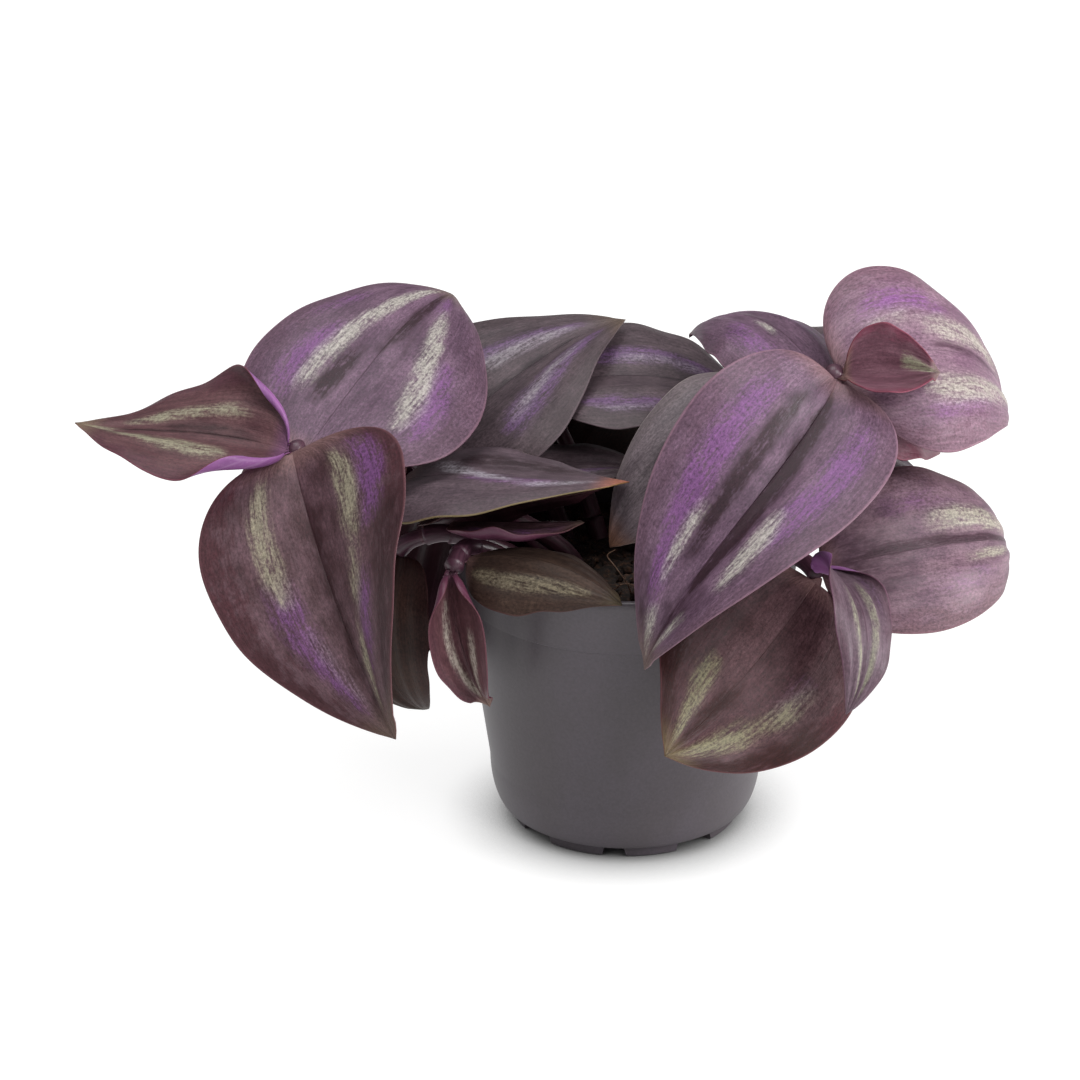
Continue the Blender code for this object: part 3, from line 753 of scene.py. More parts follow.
@dataclass(frozen=True)
class Leaf:
    """A leaf: where its blade leaves the shoot, how it points and bends, its shape and skin.

    The shape fields have the meaning that they have in the solid model: angles in degrees,
    heading from +X counter-clockwise from above, rise above the horizontal, roll lifts the left
    half, droop and hook bend the midrib down, sweep bends it left, twist turns it about itself,
    fold lifts both halves, arch rounds them back down and curl rolls the margins in at the base.
    """
    name: str
    base: tuple[float, float, float]
    heading: float
    rise: float
    roll: float
    droop: float
    hook: float
    sweep: float
    twist: float
    length: float
    width: float
    fold: float
    arch: float
    lean: float = 0.0
    curl: float = 0.0
    skin: Skin = Skin.MATURE
    under: Underside = Underside.WINE
    slot: Slot = Slot.LEAF
    strokes: tuple[Stroke, ...] | None = None
    scroll: tuple[float, float] = (0.0, 0.0)   # how far the left and right margins roll up
    scroll_from: float = 0.5       # share of the half width where the roll begins
    scroll_at: float = 0.0         # share of the length where it is tightest
    scroll_reach: float = 0.3      # and how soon it fades
    ripple: float = 0.35           # height of the margin's waves, mm
    columns: int = 47
    seed: int = 0

    ROWS = 84                      # loops of skin from base to tip
    ROW_POWER = 1.35               # above 1 it crowds them at the base
    COLUMN_CROWDING = 0.1          # how far columns move towards the midrib and the margins
    STEPS = 120                    # small turns that make the midrib
    SLICES = 60                    # steps of the running sum across half a blade
    THICKNESS = 0.5
    MARGIN_THICKNESS = 0.26
    THIN_TIP = 0.3                 # least share of the thickness where the blade is narrow
    PETIOLE = 1.3                  # half width where the blade leaves the shoot
    PETIOLE_POWER = 8              # how soon that width fades
    TIP = 0.12                     # half width left at the tip
    FLAT_BELOW = 3.0               # a half narrower than this loses its fold
    RISE = 0.5                     # powers of the outline's two ends: round base, pointed tip
    FALL = 1.0
    CURL_REACH = 0.5               # share of the length over which the curl fades
    RIB_SOFTNESS = 0.04            # share of the half width that rounds the midrib's crease
    WAVES = ((2.3, 4.1), (2.6, 3.7))   # waves along the left and the right margin
    SECOND_WAVE = 0.6              # height of the quicker wave to the slower
    PLEAT_HEIGHT = 0.26            # mm
    PLEATS = 2.5                   # on each half
    ROOT_DEPTH = 0.75              # how far the first loop goes from the seat to the axis
    PATTERN_GATHER = 0.45          # how far the skin's pattern narrows with the blade
    WAVE_SEED = 11
    PATTERN_SEED = 5
    PATTERN_SHIFT = 400.0          # mm, the most that a leaf's own piece of pattern is moved

    def midrib(self, base: Array) -> tuple[Array, Array, Array]:
        """Follow the midrib as a chain of small turns.

        Each step turns the axes (along, left, upper) down by the bend, left by the sweep and
        about along by the twist. The axes are the running product of the turns, and the places
        the running sum of the directions halfway through each step.

        Args:
            base: where the blade leaves the shoot.

        Returns:
            The places, and the left and upper directions, at evenly spaced stations.
        """
        heading, rise, roll = np.radians([self.heading, self.rise, self.roll])
        along = np.array([math.cos(rise) * math.cos(heading), math.cos(rise) * math.sin(heading),
                          math.sin(rise)])
        level = np.array([-math.sin(heading), math.cos(heading), 0.0])
        left = level * math.cos(roll) + np.cross(along, level) * math.sin(roll)
        start = np.stack([along, left, np.cross(along, left)], axis=1)
        middle = (np.arange(self.STEPS) + 0.5) / self.STEPS
        bend = np.radians(self.droop + self.hook * 3.0 * middle ** 2) / self.STEPS
        sweep, twist = np.radians([self.sweep, self.twist])[:, None] / self.STEPS + 0.0 * bend
        ahead = self.tilt(bend, sweep)
        aside = np.stack([-np.sin(sweep), np.cos(sweep), 0.0 * bend], axis=1)
        above = np.cross(ahead, aside)
        turned = aside * np.cos(twist)[:, None] + above * np.sin(twist)[:, None]
        turns = np.stack([ahead, turned, np.cross(ahead, turned)], axis=2)
        axes = np.array(list(accumulate([start, *turns], np.matmul)))
        steps = np.einsum("kij,kj->ki", axes[:-1], self.tilt(bend / 2, sweep / 2))
        places = base + np.cumsum(np.concatenate([np.zeros((1, 3)), steps]), axis=0) * (
            self.length / self.STEPS)
        return places, axes[:, :, 1], axes[:, :, 2]

    @staticmethod
    def tilt(bend: Array, sweep: Array) -> Array:
        """Return the forward direction after a bend down and a sweep left, in the old axes."""
        return np.stack([np.cos(bend) * np.cos(sweep), np.cos(bend) * np.sin(sweep),
                         -np.sin(bend)], axis=1)

    def half_width(self, along: Array) -> Array:
        """Work out half the width.

        It is (t / p)^0.5 ((1 - t) / (1 - p)), which is 1 at its widest t = p, times half the
        leaf's width, plus a narrow base that fades out along the blade.

        Args:
            along: share of the length, t.

        Returns:
            Half the width in millimetres.
        """
        widest = self.RISE / (self.RISE + self.FALL)
        outline = ((along / widest) ** self.RISE
                   * ((1.0 - along) / (1.0 - widest)) ** self.FALL)
        base = self.PETIOLE * (1.0 - along) ** self.PETIOLE_POWER
        return np.maximum(base + self.width / 2.0 * outline, self.TIP)

    def sheet(self, base: Array, along: Array, across: Array) -> Array:
        """Work out the blade's middle surface.

        Across, each half leaves the midrib at the fold angle f and turns down evenly by the arch
        a, so its slope at a share v of the half width is f - a v, and its margin rolls up by the
        scroll angle c: slope = f - a v + c ((v - from) / (1 - from))^1.5. Out and up are the
        running sums of the slope's cosine and sine, times the half width. Shallow waves run
        along the margin, and pleats along each half.

        Args:
            base: where the blade leaves the shoot.
            along: share of the length, an array over the grid.
            across: place from -1 at the right margin to 1 at the left.

        Returns:
            Points of the same grid, in millimetres.
        """
        stations = np.linspace(0.0, 1.0, self.STEPS + 1)
        place, left, upper = (sample(along, stations, rows) for rows in self.midrib(base))
        width = self.half_width(along)
        outward = np.abs(across)
        spread = (np.sqrt(across ** 2 + self.RIB_SOFTNESS ** 2)
                  - self.RIB_SOFTNESS * (1.0 - outward))
        flatten = np.minimum(1.0, (width / self.FLAT_BELOW) ** 2)
        curl = self.curl * np.maximum(0.0, 1.0 - along / self.CURL_REACH) ** 1.5
        fold = math.radians(self.fold) * flatten
        arch = np.radians(self.arch - curl) * flatten
        fade = np.exp(-((along - self.scroll_at) / self.scroll_reach) ** 2) * flatten
        scroll = np.radians(np.where(across > 0.0, *self.scroll)) * fade
        share = (np.arange(self.SLICES) + 0.5) / self.SLICES * spread[..., None]
        rolled = np.clip((share - self.scroll_from) / (1.0 - self.scroll_from), 0.0, 1.0) ** 1.5
        slope = fold[..., None] - arch[..., None] * share + scroll[..., None] * rolled
        out = np.cos(slope).mean(axis=-1) * spread
        up = np.sin(slope).mean(axis=-1) * spread
        draw = np.random.default_rng(self.seed + self.WAVE_SEED)
        phase = draw.uniform(0.0, 2.0 * math.pi, 4)
        turn = 2.0 * math.pi * along
        left_wave, right_wave = (
            np.sin(slow * turn + first) + self.SECOND_WAVE * np.sin(quick * turn + second)
            for (slow, quick), (first, second) in zip(self.WAVES, phase.reshape(2, 2)))
        calm = np.sin(math.pi * along) ** 0.7
        lift = (self.ripple * np.where(across > 0.0, left_wave, right_wave)
                * outward ** 3 * calm)
        lift += (self.PLEAT_HEIGHT * np.cos(2.0 * math.pi * self.PLEATS * outward) * calm
                 * (1.0 - outward ** 2))
        side = width * (1.0 + self.lean * np.sign(across)) * out * np.sign(across)
        return place + left * side[..., None] + upper * (width * up + lift)[..., None]

    def paint(self, along: Array, across: Array) -> Array:
        """Lay the strokes over the blade, the strongest on top in each colour.

        Args:
            along: share of the length, an array over the grid.
            across: place from -1 at the right margin to 1 at the left.

        Returns:
            The strengths as red, green, blue and alpha at each point of the grid.
        """
        strokes = usual_strokes(self.seed) if self.strokes is None else self.strokes
        colours = np.zeros((*along.shape, 4))
        colours[..., 3] = 1.0
        for stroke in strokes:
            channel = colours[..., stroke.tone.value]
            np.maximum(channel, stroke.weight(along, across), out=channel)
        return colours

    def skin_loops(self, base: Array, axis_point: Array, rows: Array, columns: Array) -> Array:
        """Wrap the skin round the blade, one closed loop for each row.

        Each loop goes over the upper side from left to right, round the margin and back under.
        A first loop inside the shoot joins the blade to it.

        Args:
            base: where the blade leaves the shoot.
            axis_point: the nearest point on the shoot's axis.
            rows: each row's share of the length.
            columns: each column's place across, from 1 to -1.

        Returns:
            Points of shape (rows + 1, 2 columns + 2, 3).
        """
        along, across = np.meshgrid(rows, columns, indexing="ij")
        middle = self.sheet(base, along, across)
        step_along = np.gradient(middle, axis=0)
        step_across = np.gradient(middle, axis=1)
        normal = unit(np.cross(step_across, step_along))
        normal[0], normal[-1] = normal[1], normal[-2]
        half = 0.5 * (self.THICKNESS + (self.MARGIN_THICKNESS - self.THICKNESS) * across ** 2)
        half *= np.clip(self.half_width(along), self.THIN_TIP, 1.0)
        upper, lower = (middle + normal * (half * sign)[..., None] for sign in (1.0, -1.0))
        left = middle[:, :1] - unit(step_across[:, :1]) * half[:, :1, None]
        right = middle[:, -1:] + unit(step_across[:, -1:]) * half[:, -1:, None]
        loops = np.concatenate([upper, right, lower[:, ::-1], left], axis=1)
        return np.concatenate([loops[:1] + (axis_point - base) * self.ROOT_DEPTH, loops])

    def build(self, base: Array, axis_point: Array,
              skins: Mapping[Enum, Material]) -> bpy.types.Object:
        """Make the blade, with its pattern maps and its two skins.

        Args:
            base: where the blade leaves the shoot.
            axis_point: the nearest point on the shoot's axis.
            skins: the materials by skin.

        Returns:
            The finished piece.
        """
        even = np.linspace(1.0, -1.0, self.columns)
        columns = even - self.COLUMN_CROWDING * np.sin(2.0 * math.pi * even)
        rows = np.linspace(0.0, 1.0, self.ROWS) ** self.ROW_POWER
        grid = self.skin_loops(base, axis_point, rows, columns)
        loops, count = grid.shape[:2]
        along, across = np.meshgrid(
            np.concatenate([rows[:1], rows]),
            np.concatenate([columns, columns[-1:], columns[::-1], columns[:1]]), indexing="ij")
        blade = np.stack([(across + 1.0) / 2.0, along], axis=-1)
        shift = np.random.default_rng(self.seed + self.PATTERN_SEED).uniform(
            0.0, self.PATTERN_SHIFT, 2)
        side_mm = across * ((1.0 - self.PATTERN_GATHER) * self.width / 2.0
                            + self.PATTERN_GATHER * self.half_width(along))
        length = np.stack([side_mm, along * self.length], axis=-1) + shift
        column = np.tile(np.arange(count), loops - 1)
        under = ((column > self.columns) & (column < 2 * self.columns)).astype(int)
        ends = [np.arange(count)[::-1], np.arange(count) + (loops - 1) * count]
        mesh = Mesh(grid.reshape(-1, 3),
                    [*wrapped_faces(loops, count).tolist(), *(end.tolist() for end in ends)],
                    np.concatenate([under, [0, 0]]),
                    {"blade": blade.reshape(-1, 2), "length": length.reshape(-1, 2)},
                    {"strokes": self.paint(along, across).reshape(-1, 4)}).facing_out()
        piece = mesh.to_piece(f"{self.name}_blade", (skins[self.skin], skins[self.under]),
                              self.slot)
        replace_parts(piece, self.name)
        return piece


@dataclass(frozen=True)
class Shoot:
    """A shoot: its route up from the compost, its skin and the leaves that it carries."""
    name: str
    route: tuple[tuple[float, float, float], ...]
    leaves: tuple[Leaf, ...]

    BASE_RADIUS = 2.0
    TIP_RADIUS = 1.4
    CLEARANCE = 0.3                # between the shoot's skin and a leaf's
    HALF_LEAF = 0.3                # half the thickness of a leaf in the solid model
    SIDES = 20
    SPACING = 0.6                  # mm between points of the axis
    NODE_SWELL = 0.16              # share by which a node is thicker
    NODE_REACH = 2.0               # mm, how far a node's swelling goes
    SHEATH_BELOW = 12              # points of the axis that a sheath covers below its node
    SHEATH_ABOVE = 2               # and above it
    SHEATH_GAP = 0.12              # mm between a sheath's foot and the stem
    SHEATH_FLARE = 0.45            # mm more at its mouth

    @cached_property
    def line(self) -> Array:
        """The axis, as evenly spaced points."""
        return smooth_line(np.array(self.route, float), self.SPACING)

    @cached_property
    def radii(self) -> Array:
        """The radius at each point of the axis, tapering evenly from the base to the tip."""
        return np.linspace(self.BASE_RADIUS, self.TIP_RADIUS, len(self.line))

    def seat(self, leaf: Leaf) -> tuple[Array, int]:
        """Find where a leaf's blade leaves the shoot.

        The seat lies straight out from the nearest axis point, a radius, the clearance and half
        the blade's thickness away.

        Args:
            leaf: the leaf, whose base is a rough place near the shoot.

        Returns:
            The seat and the number of the nearest axis point.
        """
        rough = np.array(leaf.base)
        nearest = int(np.argmin(np.linalg.norm(self.line - rough, axis=1)))
        stand_off = self.radii[nearest] + self.CLEARANCE + self.HALF_LEAF
        return self.line[nearest] + unit(rough - self.line[nearest]) * stand_off, nearest

    def swelling(self, nodes: Sequence[int]) -> Array:
        """Return the radius factor along the axis: 1 plus a bell exp(-(x / reach)^2) at a node."""
        away = self.SPACING * (np.arange(len(self.line))[:, None] - np.array(nodes)[None, :])
        return 1.0 + self.NODE_SWELL * np.exp(-(away / self.NODE_REACH) ** 2).max(axis=1)

    def build(self, skins: Mapping[Enum, Material], stem: Material, sheath: Material) -> None:
        """Make the stem with its swollen nodes, a sheath at each leaf, and the leaves.

        Args:
            skins: the leaves' materials by skin.
            stem: the stem's material.
            sheath: the sheaths' material.
        """
        seats = [self.seat(leaf) for leaf in self.leaves]
        nodes = [nearest for _, nearest in seats]
        skin = tube(self.line, self.radii * self.swelling(nodes), self.SIDES)
        piece = skin.to_piece(f"{self.name}_stem", (stem,), Slot.STEM)
        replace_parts(piece, self.name)
        sleeves = [self.sleeve(node) for node in sorted(set(nodes))]
        joined(sleeves).to_piece(f"{self.name}_sheaths", (sheath,), Slot.STEM)
        for leaf, (base, nearest) in zip(self.leaves, seats):
            leaf.build(base, self.line[nearest], skins)

    def sleeve(self, node: int) -> Mesh:
        """Make a sheath: a sleeve that clasps about 8 mm of stem and widens to its mouth.

        Args:
            node: the number of the axis point at the leaf.

        Returns:
            The sleeve.
        """
        start = max(0, node - self.SHEATH_BELOW)
        end = min(len(self.line), node + self.SHEATH_ABOVE)
        share = np.linspace(0.0, 1.0, end - start)
        radii = self.radii[start:end] + self.SHEATH_GAP + self.SHEATH_FLARE * share ** 2
        return tube(self.line[start:end], radii, self.SIDES)


# Each leaf's seat, heading, bends and size were worked out by a fitting program, for the solid
# model, and rounded. This is the same table. The shoots' routes and the strokes were typed by hand,
# and the widths of many strokes were scaled afterwards by a script.
SHOOTS = (
    Shoot("shoot_left", ((-8, -1, 44), (-11, -2, 56), (-22, -3, 65), (-34, -4, 69.5), (-46, -6,
          72.8), (-56, -10, 77), (-63, -13.5, 81), (-65, -16, 86)), leaves=(
        Leaf("leaf_left_rear", (-63.5, -12.5, 83), 59, 22, 4, -9, 55, -3, 18, 61, 51, 14, 37,
             lean=-0.04, skin=Skin.MATURE, seed=1, strokes=(
                 silver(0.20, 0.98, 0.44, 0.36, 0.30, 0.085, 1.05),
                 violet(0.16, 0.56, 0.58, 0.54, 0.48, 0.149, 1.0),
                 violet(0.50, 0.75, 0.80, 0.76, 0.70, 0.115, 0.6),
                 dark(0.18, 0.50, 0.26, 0.22, 0.20, 0.085, 1.5),
                 dark(0.46, 0.98, 0.02, -0.05, -0.09, 0.12, 1.1),
                 silver(0.18, 0.82, -0.57, -0.45, -0.34, 0.095, 1.05),
                 violet(0.16, 0.58, -0.70, -0.63, -0.56, 0.138, 1.0),
                 violet(0.72, 0.96, -0.30, -0.30, -0.30, 0.138, 0.7),
                 dark(0.30, 0.80, -0.20, -0.20, -0.18, 0.05, 0.5),)),
        Leaf("leaf_left_hanging", (-66, -20, 84), -75, -35, 31, 11, -4, 9, 39, 66, 52, 25, 12,
             lean=0.11, skin=Skin.BRONZE, seed=2, strokes=(
                 violet(0.05, 0.42, 0.80, 0.70, 0.62, 0.149, 1.1),
                 silver(0.05, 0.42, 0.52, 0.46, 0.42, 0.11, 1.1),
                 silver(0.36, 0.66, 0.42, 0.36, 0.30, 0.108, 0.7),
                 silver(0.60, 0.92, 0.26, 0.20, 0.14, 0.096, 0.9),
                 violet(0.48, 0.82, 0.45, 0.42, 0.36, 0.161, 0.7),
                 dark(0.15, 1.0, 0.05, 0.0, -0.02, 0.12, 0.95),
                 dark(0.30, 1.0, 0.88, 0.82, 0.75, 0.22, 0.9),
                 silver(0.04, 0.50, -0.48, -0.46, -0.44, 0.105, 1.0),
                 silver(0.50, 0.95, -0.40, -0.36, -0.30, 0.12, 0.4),
                 violet(0.34, 0.92, -0.45, -0.46, -0.38, 0.17, 0.8),
                 dark(0.40, 1.0, -0.90, -0.85, -0.80, 0.16, 0.5),)),
        Leaf("leaf_left_young", (-68.5, -16.5, 85), 172, 14, -37, 55, -49, 0, 39, 44, 32, 19, 33,
             curl=60, scroll=(285, 300), scroll_from=0.62, scroll_reach=0.25, columns=61,
             skin=Skin.YOUNG, under=Underside.LILAC, slot=Slot.YOUNG, seed=3, strokes=(
                 silver(0.16, 0.80, -0.40, -0.36, -0.26, 0.11, 0.8),
                 silver(0.22, 0.84, 0.40, 0.36, 0.25, 0.144, 1.0),
                 silver(0.74, 1.0, 0.25, 0.10, 0.0, 0.264, 0.8),
                 dark(0.10, 0.85, 0.0, 0.0, 0.0, 0.07, 1.1),
                 dark(0.15, 0.70, -0.10, -0.14, -0.08, 0.1, 0.7),)),
        Leaf("leaf_left_inner", (-44, -6, 75), -33, 20, 10, 32, -19, 19, -22, 49, 38, 17, 46,
             skin=Skin.GILT, seed=4, strokes=(
                 silver(0.10, 0.62, 0.30, -0.02, -0.45, 0.12, 0.95),
                 silver(0.55, 0.92, -0.45, -0.55, -0.45, 0.108, 0.7),
                 violet(0.25, 0.78, 0.05, -0.30, -0.55, 0.196, 0.9),
                 dark(0.16, 0.84, 0.34, 0.32, 0.30, 0.18, 0.9),)),
    )),
    Shoot("shoot_tall", ((10, 2, 44), (13, 2, 56), (22, 3, 69), (31, 0.5, 82), (37, -3.5, 92),
          (40, -9, 97.8), (40.3, -12.8, 100.3)), leaves=(
        Leaf("leaf_tall_outer", (42.5, -9, 98), 18, 24, 41, 91, 21, -35, -10, 53, 45, 14, 40,
             skin=Skin.PALE, seed=5, strokes=(
                 silver(0.34, 0.82, 0.26, 0.30, 0.30, 0.144, 0.95),
                 violet(0.10, 0.52, 0.50, 0.56, 0.50, 0.172, 0.8),
                 silver(0.08, 0.44, 0.40, 0.40, 0.38, 0.132, 0.5),
                 dark(0.35, 0.82, 0.10, 0.08, 0.05, 0.06, 1.0),
                 silver(0.24, 0.86, -0.42, -0.45, -0.40, 0.168, 0.95),
                 violet(0.20, 0.68, -0.64, -0.60, -0.55, 0.138, 0.6),)),
        Leaf("leaf_tall_front", (41.5, -17.5, 95), -114, -23, -38, 51, 26, -26, 54, 73, 43, 34,
             25, lean=-0.03, skin=Skin.MATURE, seed=6, strokes=(
                 silver(0.42, 0.70, 0.42, 0.50, 0.60, 0.12, 1.15),
                 silver(0.76, 0.97, 0.50, 0.45, 0.30, 0.168, 0.75),
                 violet(0.10, 0.58, 0.62, 0.58, 0.54, 0.172, 1.05),
                 dark(0.02, 0.78, 0.02, 0.11, 0.17, 0.13, 1.7),
                 dark(0.66, 0.98, 0.25, 0.20, 0.10, 0.45, 0.75),
                 violet(0.12, 0.86, -0.62, -0.58, -0.48, 0.16, 1.05),
                 silver(0.50, 0.78, -0.40, -0.43, -0.44, 0.084, 0.9),
                 silver(0.80, 0.98, -0.38, -0.42, -0.20, 0.18, 0.85),
                 dark(0.08, 0.70, -0.34, -0.29, -0.26, 0.09, 1.3),
                 dark(0.68, 0.98, -0.7, -0.7, -0.7, 0.3, 0.6),)),
        Leaf("leaf_tall_young", (46, -13.5, 99.5), 8, -1, 46, 4, -3, 0, 8, 19, 24, 44, -19,
             skin=Skin.FLUSH, under=Underside.CRIMSON, slot=Slot.YOUNG, seed=7, strokes=(
                 silver(0.55, 1.0, 0.36, 0.30, 0.12, 0.22, 1.1),)),
        Leaf("leaf_tall_inner", (33, -5, 88), -124, 19, -33, 95, 25, -12, 15, 56, 36, 21, 49,
             lean=0.1, skin=Skin.SLATE, slot=Slot.SHADED, seed=8, strokes=(
                 dark(0.10, 0.90, 0.0, 0.0, 0.0, 0.05, 0.5),)),
        Leaf("leaf_tall_rear", (37, -4, 96.5), 118, 30, 12, 60, 26, 16, -9, 42, 31, 7, 54,
             lean=-0.05, skin=Skin.MATURE, seed=9, strokes=(
                 violet(0.10, 0.60, 0.50, 0.50, 0.40, 0.23, 0.7),
                 silver(0.30, 0.52, 0.15, 0.10, 0.10, 0.072, 0.7),
                 violet(0.20, 0.80, -0.50, -0.50, -0.40, 0.172, 0.5),)),
        Leaf("leaf_tall_below", (43, -3, 90.5), 26, -16, 19, 34, 11, 0, 3, 35, 27, 12, 43,
             skin=Skin.FLUSH, under=Underside.CRIMSON, slot=Slot.YOUNG, seed=10, strokes=(
                 dark(0.10, 0.90, 0.0, 0.0, 0.0, 0.05, 0.3),)),
        Leaf("leaf_tall_middle", (35, 1, 86), 58, 11, 28, 33, 2, -4, 8, 54, 33, 11, 49,
             skin=Skin.DUSK, seed=11),
        Leaf("leaf_tall_low", (28, 6, 71), 18, 6, 11, 58, 4, -3, -10, 54, 38, 22, 36,
             skin=Skin.DUSK, slot=Slot.SHADED, seed=12),
    )),
    Shoot("shoot_right", ((11, -9, 44), (14, -11, 56), (22, -15, 64), (28, -18.5, 65.6), (34,
          -22.5, 64.8), (37, -26, 63.5)), leaves=(
        Leaf("leaf_right_outer", (38.5, -23.5, 63), -4, 18, 47, 90, 32, 15, 14, 59, 36, 13, 47,
             lean=0.06, skin=Skin.DOVE, seed=13, strokes=(
                 silver(0.36, 0.90, 0.30, 0.36, 0.32, 0.16, 0.95),
                 silver(0.48, 0.84, -0.25, -0.23, -0.22, 0.096, 0.9),
                 dark(0.02, 0.88, 0.05, 0.06, 0.03, 0.085, 1.4),
                 dark(-0.1, 0.36, 0.0, 0.0, 0.0, 0.80, 0.65),
                 violet(0.20, 0.62, 0.52, 0.52, 0.46, 0.172, 0.6),
                 violet(0.30, 0.74, -0.50, -0.50, -0.40, 0.184, 0.5),)),
        Leaf("leaf_right_hanging", (35.5, -29.5, 57.5), -145, -47, -59, -34, -5, -23, -6, 50, 45,
             15, 41, skin=Skin.RUSSET, slot=Slot.YOUNG, seed=14, strokes=(
                 silver(0.56, 1.0, 0.48, 0.46, 0.40, 0.192, 0.95),
                 silver(0.30, 0.64, 0.56, 0.54, 0.50, 0.132, 0.75),
                 violet(0.28, 0.56, 0.50, 0.52, 0.50, 0.149, 0.7),
                 silver(0.48, 0.98, -0.38, -0.36, -0.34, 0.144, 0.95),
                 dark(0.48, 1.0, 0.02, 0.0, 0.0, 0.16, 1.2),
                 dark(0.36, 1.0, -0.78, -0.82, -0.80, 0.22, 1.1),
                 dark(0.36, 1.0, 0.90, 0.88, 0.85, 0.18, 1.1),)),
        Leaf("leaf_right_young", (32.5, -38.5, 73), -45, 12, -42, 112, 25, 6, 32, 39, 17, 18, 39,
             curl=80, scroll=(285, 260), scroll_from=0.62, scroll_reach=0.24, columns=61,
             skin=Skin.MAUVE, under=Underside.LILAC, slot=Slot.YOUNG, seed=15, strokes=(
                 silver(0.20, 0.95, 0.38, 0.34, 0.15, 0.12, 0.9),
                 silver(0.25, 0.95, -0.30, -0.34, -0.15, 0.12, 0.95),
                 violet(0.10, 0.50, 0.70, 0.70, 0.60, 0.172, 0.4),
                 dark(0.10, 0.80, 0.0, 0.0, 0.0, 0.06, 0.8),)),
    )),
    Shoot("shoot_front", ((-13, -9, 44), (-18, -12, 56), (-26, -16, 63.5), (-31, -20, 66.5),
          (-33, -25, 67), (-34, -28.5, 66)), leaves=(
        Leaf("leaf_front_young", (-36, -29, 61.5), -77, -66, 9, 64, -21, 18, 21, 31, 18, 52, -2,
             lean=0.03, scroll=(180, 180), scroll_from=0.5, scroll_reach=0.14, columns=61,
             skin=Skin.EMBER, under=Underside.WINE, slot=Slot.YOUNG, seed=16, strokes=(
                 silver(0.30, 0.92, 0.50, 0.42, 0.20, 0.144, 1.0),
                 silver(0.12, 0.95, -0.35, -0.40, -0.15, 0.132, 1.0),
                 dark(0.10, 0.90, 0.05, 0.05, 0.0, 0.08, 0.8),)),
        # Its olive skin is painted shade.
        Leaf("leaf_front_rim", (-31, -25, 66), -25, 19, 5, 47, 19, -3, 18, 34, 25, 0, 60,
             skin=Skin.SHADED_OLIVE, slot=Slot.SHADED, seed=17, strokes=(
                 silver(0.05, 0.85, -0.50, -0.50, -0.42, 0.156, 0.85),
                 dark(0.10, 0.90, 0.30, 0.30, 0.30, 0.3, 0.7),)),
    )),
    Shoot("shoot_side", ((-15, -4, 44), (-19, -7, 56), (-28, -12, 64), (-36, -14.5, 67), (-42,
          -14, 65.5), (-45, -13, 63)), leaves=(
        # Painted shade: umber skin and dark underside.
        Leaf("leaf_side_under", (-40, -13.5, 69), -12, 21, -25, 11, -6, -5, -3, 38, 28, 16, 43,
             skin=Skin.SHADED_UMBER, under=Underside.DARK, slot=Slot.SHADED, seed=18, strokes=(
                 violet(0.20, 0.80, -0.50, -0.50, -0.40, 0.172, 0.5),)),
        Leaf("leaf_side_inner", (-33.5, -12, 73), -17, 5, -23, 0, -9, -1, 21, 27, 27, -2, 30,
             scroll=(0, 130), scroll_from=0.55, scroll_at=0.5, scroll_reach=0.45, columns=61,
             skin=Skin.BRONZE, under=Underside.WINE, slot=Slot.YOUNG, seed=19, strokes=(
                 violet(0.10, 0.90, -0.50, -0.50, -0.40, 0.172, 0.5),)),
        # Painted shade: umber skin and dark underside.
        Leaf("leaf_side_hanging", (-45, -13, 61), -119, -35, 16, 104, 18, 4, -11, 39, 24, 24, 36,
             skin=Skin.SHADED_UMBER, under=Underside.DARK, slot=Slot.SHADED, seed=20, strokes=(
                 silver(0.30, 0.80, 0.30, 0.30, 0.20, 0.12, 0.35),)),
    )),
    Shoot("shoot_rear_left", ((-14, 4, 44), (-18, 5, 56), (-29, 7.5, 65.5), (-36, 8.5, 68.3),
          (-41, 10, 71.5), (-47, 17, 75.5), (-49, 21, 76.5)), leaves=(
        Leaf("leaf_rear_left_broad", (-39.5, 11.5, 73), 41, 27, 15, -4, 22, -17, -25, 51, 46, 23,
             34, skin=Skin.DUSK, seed=21, strokes=(
                 silver(0.30, 0.84, 0.30, 0.32, 0.30, 0.084, 0.9),
                 violet(0.26, 0.88, 0.42, 0.38, 0.34, 0.127, 1.0),
                 violet(0.22, 0.92, -0.58, -0.46, -0.34, 0.161, 1.1),
                 silver(0.28, 0.82, -0.52, -0.42, -0.34, 0.084, 0.85),
                 dark(0.20, 0.90, 0.02, 0.04, 0.02, 0.06, 0.9),)),
        Leaf("leaf_rear_left_inner", (-35, 8, 71.5), -1, -2, -10, -23, 24, -14, 26, 40, 24, 21,
             39, skin=Skin.DUSK, slot=Slot.SHADED, seed=22, strokes=(
                 violet(0.30, 0.90, -0.40, -0.40, -0.30, 0.138, 0.8),
                 silver(0.40, 0.80, -0.30, -0.34, -0.30, 0.072, 0.5),)),
        Leaf("leaf_rear_left_hanging", (-49.5, 9.5, 75.5), -151, 5, -19, 83, 9, 2, 18, 48, 34,
             21, 29, skin=Skin.BRONZE, seed=23),
        Leaf("leaf_rear_left_top", (-47.5, 24, 73), 86, 27, 14, 41, 10, 2, 7, 55, 33, 12, 46,
             skin=Skin.MATURE, seed=24),
        Leaf("leaf_rear_left_outer", (-51, 18, 75.5), -143, -39, -26, 45, 2, 11, 4, 50, 32, 12,
             42, skin=Skin.BRONZE, seed=25),
        # Painted shade: a dark leaf with no strokes that fills a gap into the plant's shaded
        # middle.
        Leaf("leaf_rear_left_low", (-38, 9.5, 67.5), -158, -63, 58, 34, 0, 5, 23, 48, 33, 4, 19,
             skin=Skin.SHADED_UMBER, under=Underside.DARK, slot=Slot.SHADED, seed=36,
             strokes=()),
    )),
    Shoot("shoot_middle", ((-3, 9, 44), (-6, 13, 57), (-11, 18, 70), (-15.5, 21.5, 79), (-16.5,
          22, 82)), leaves=(
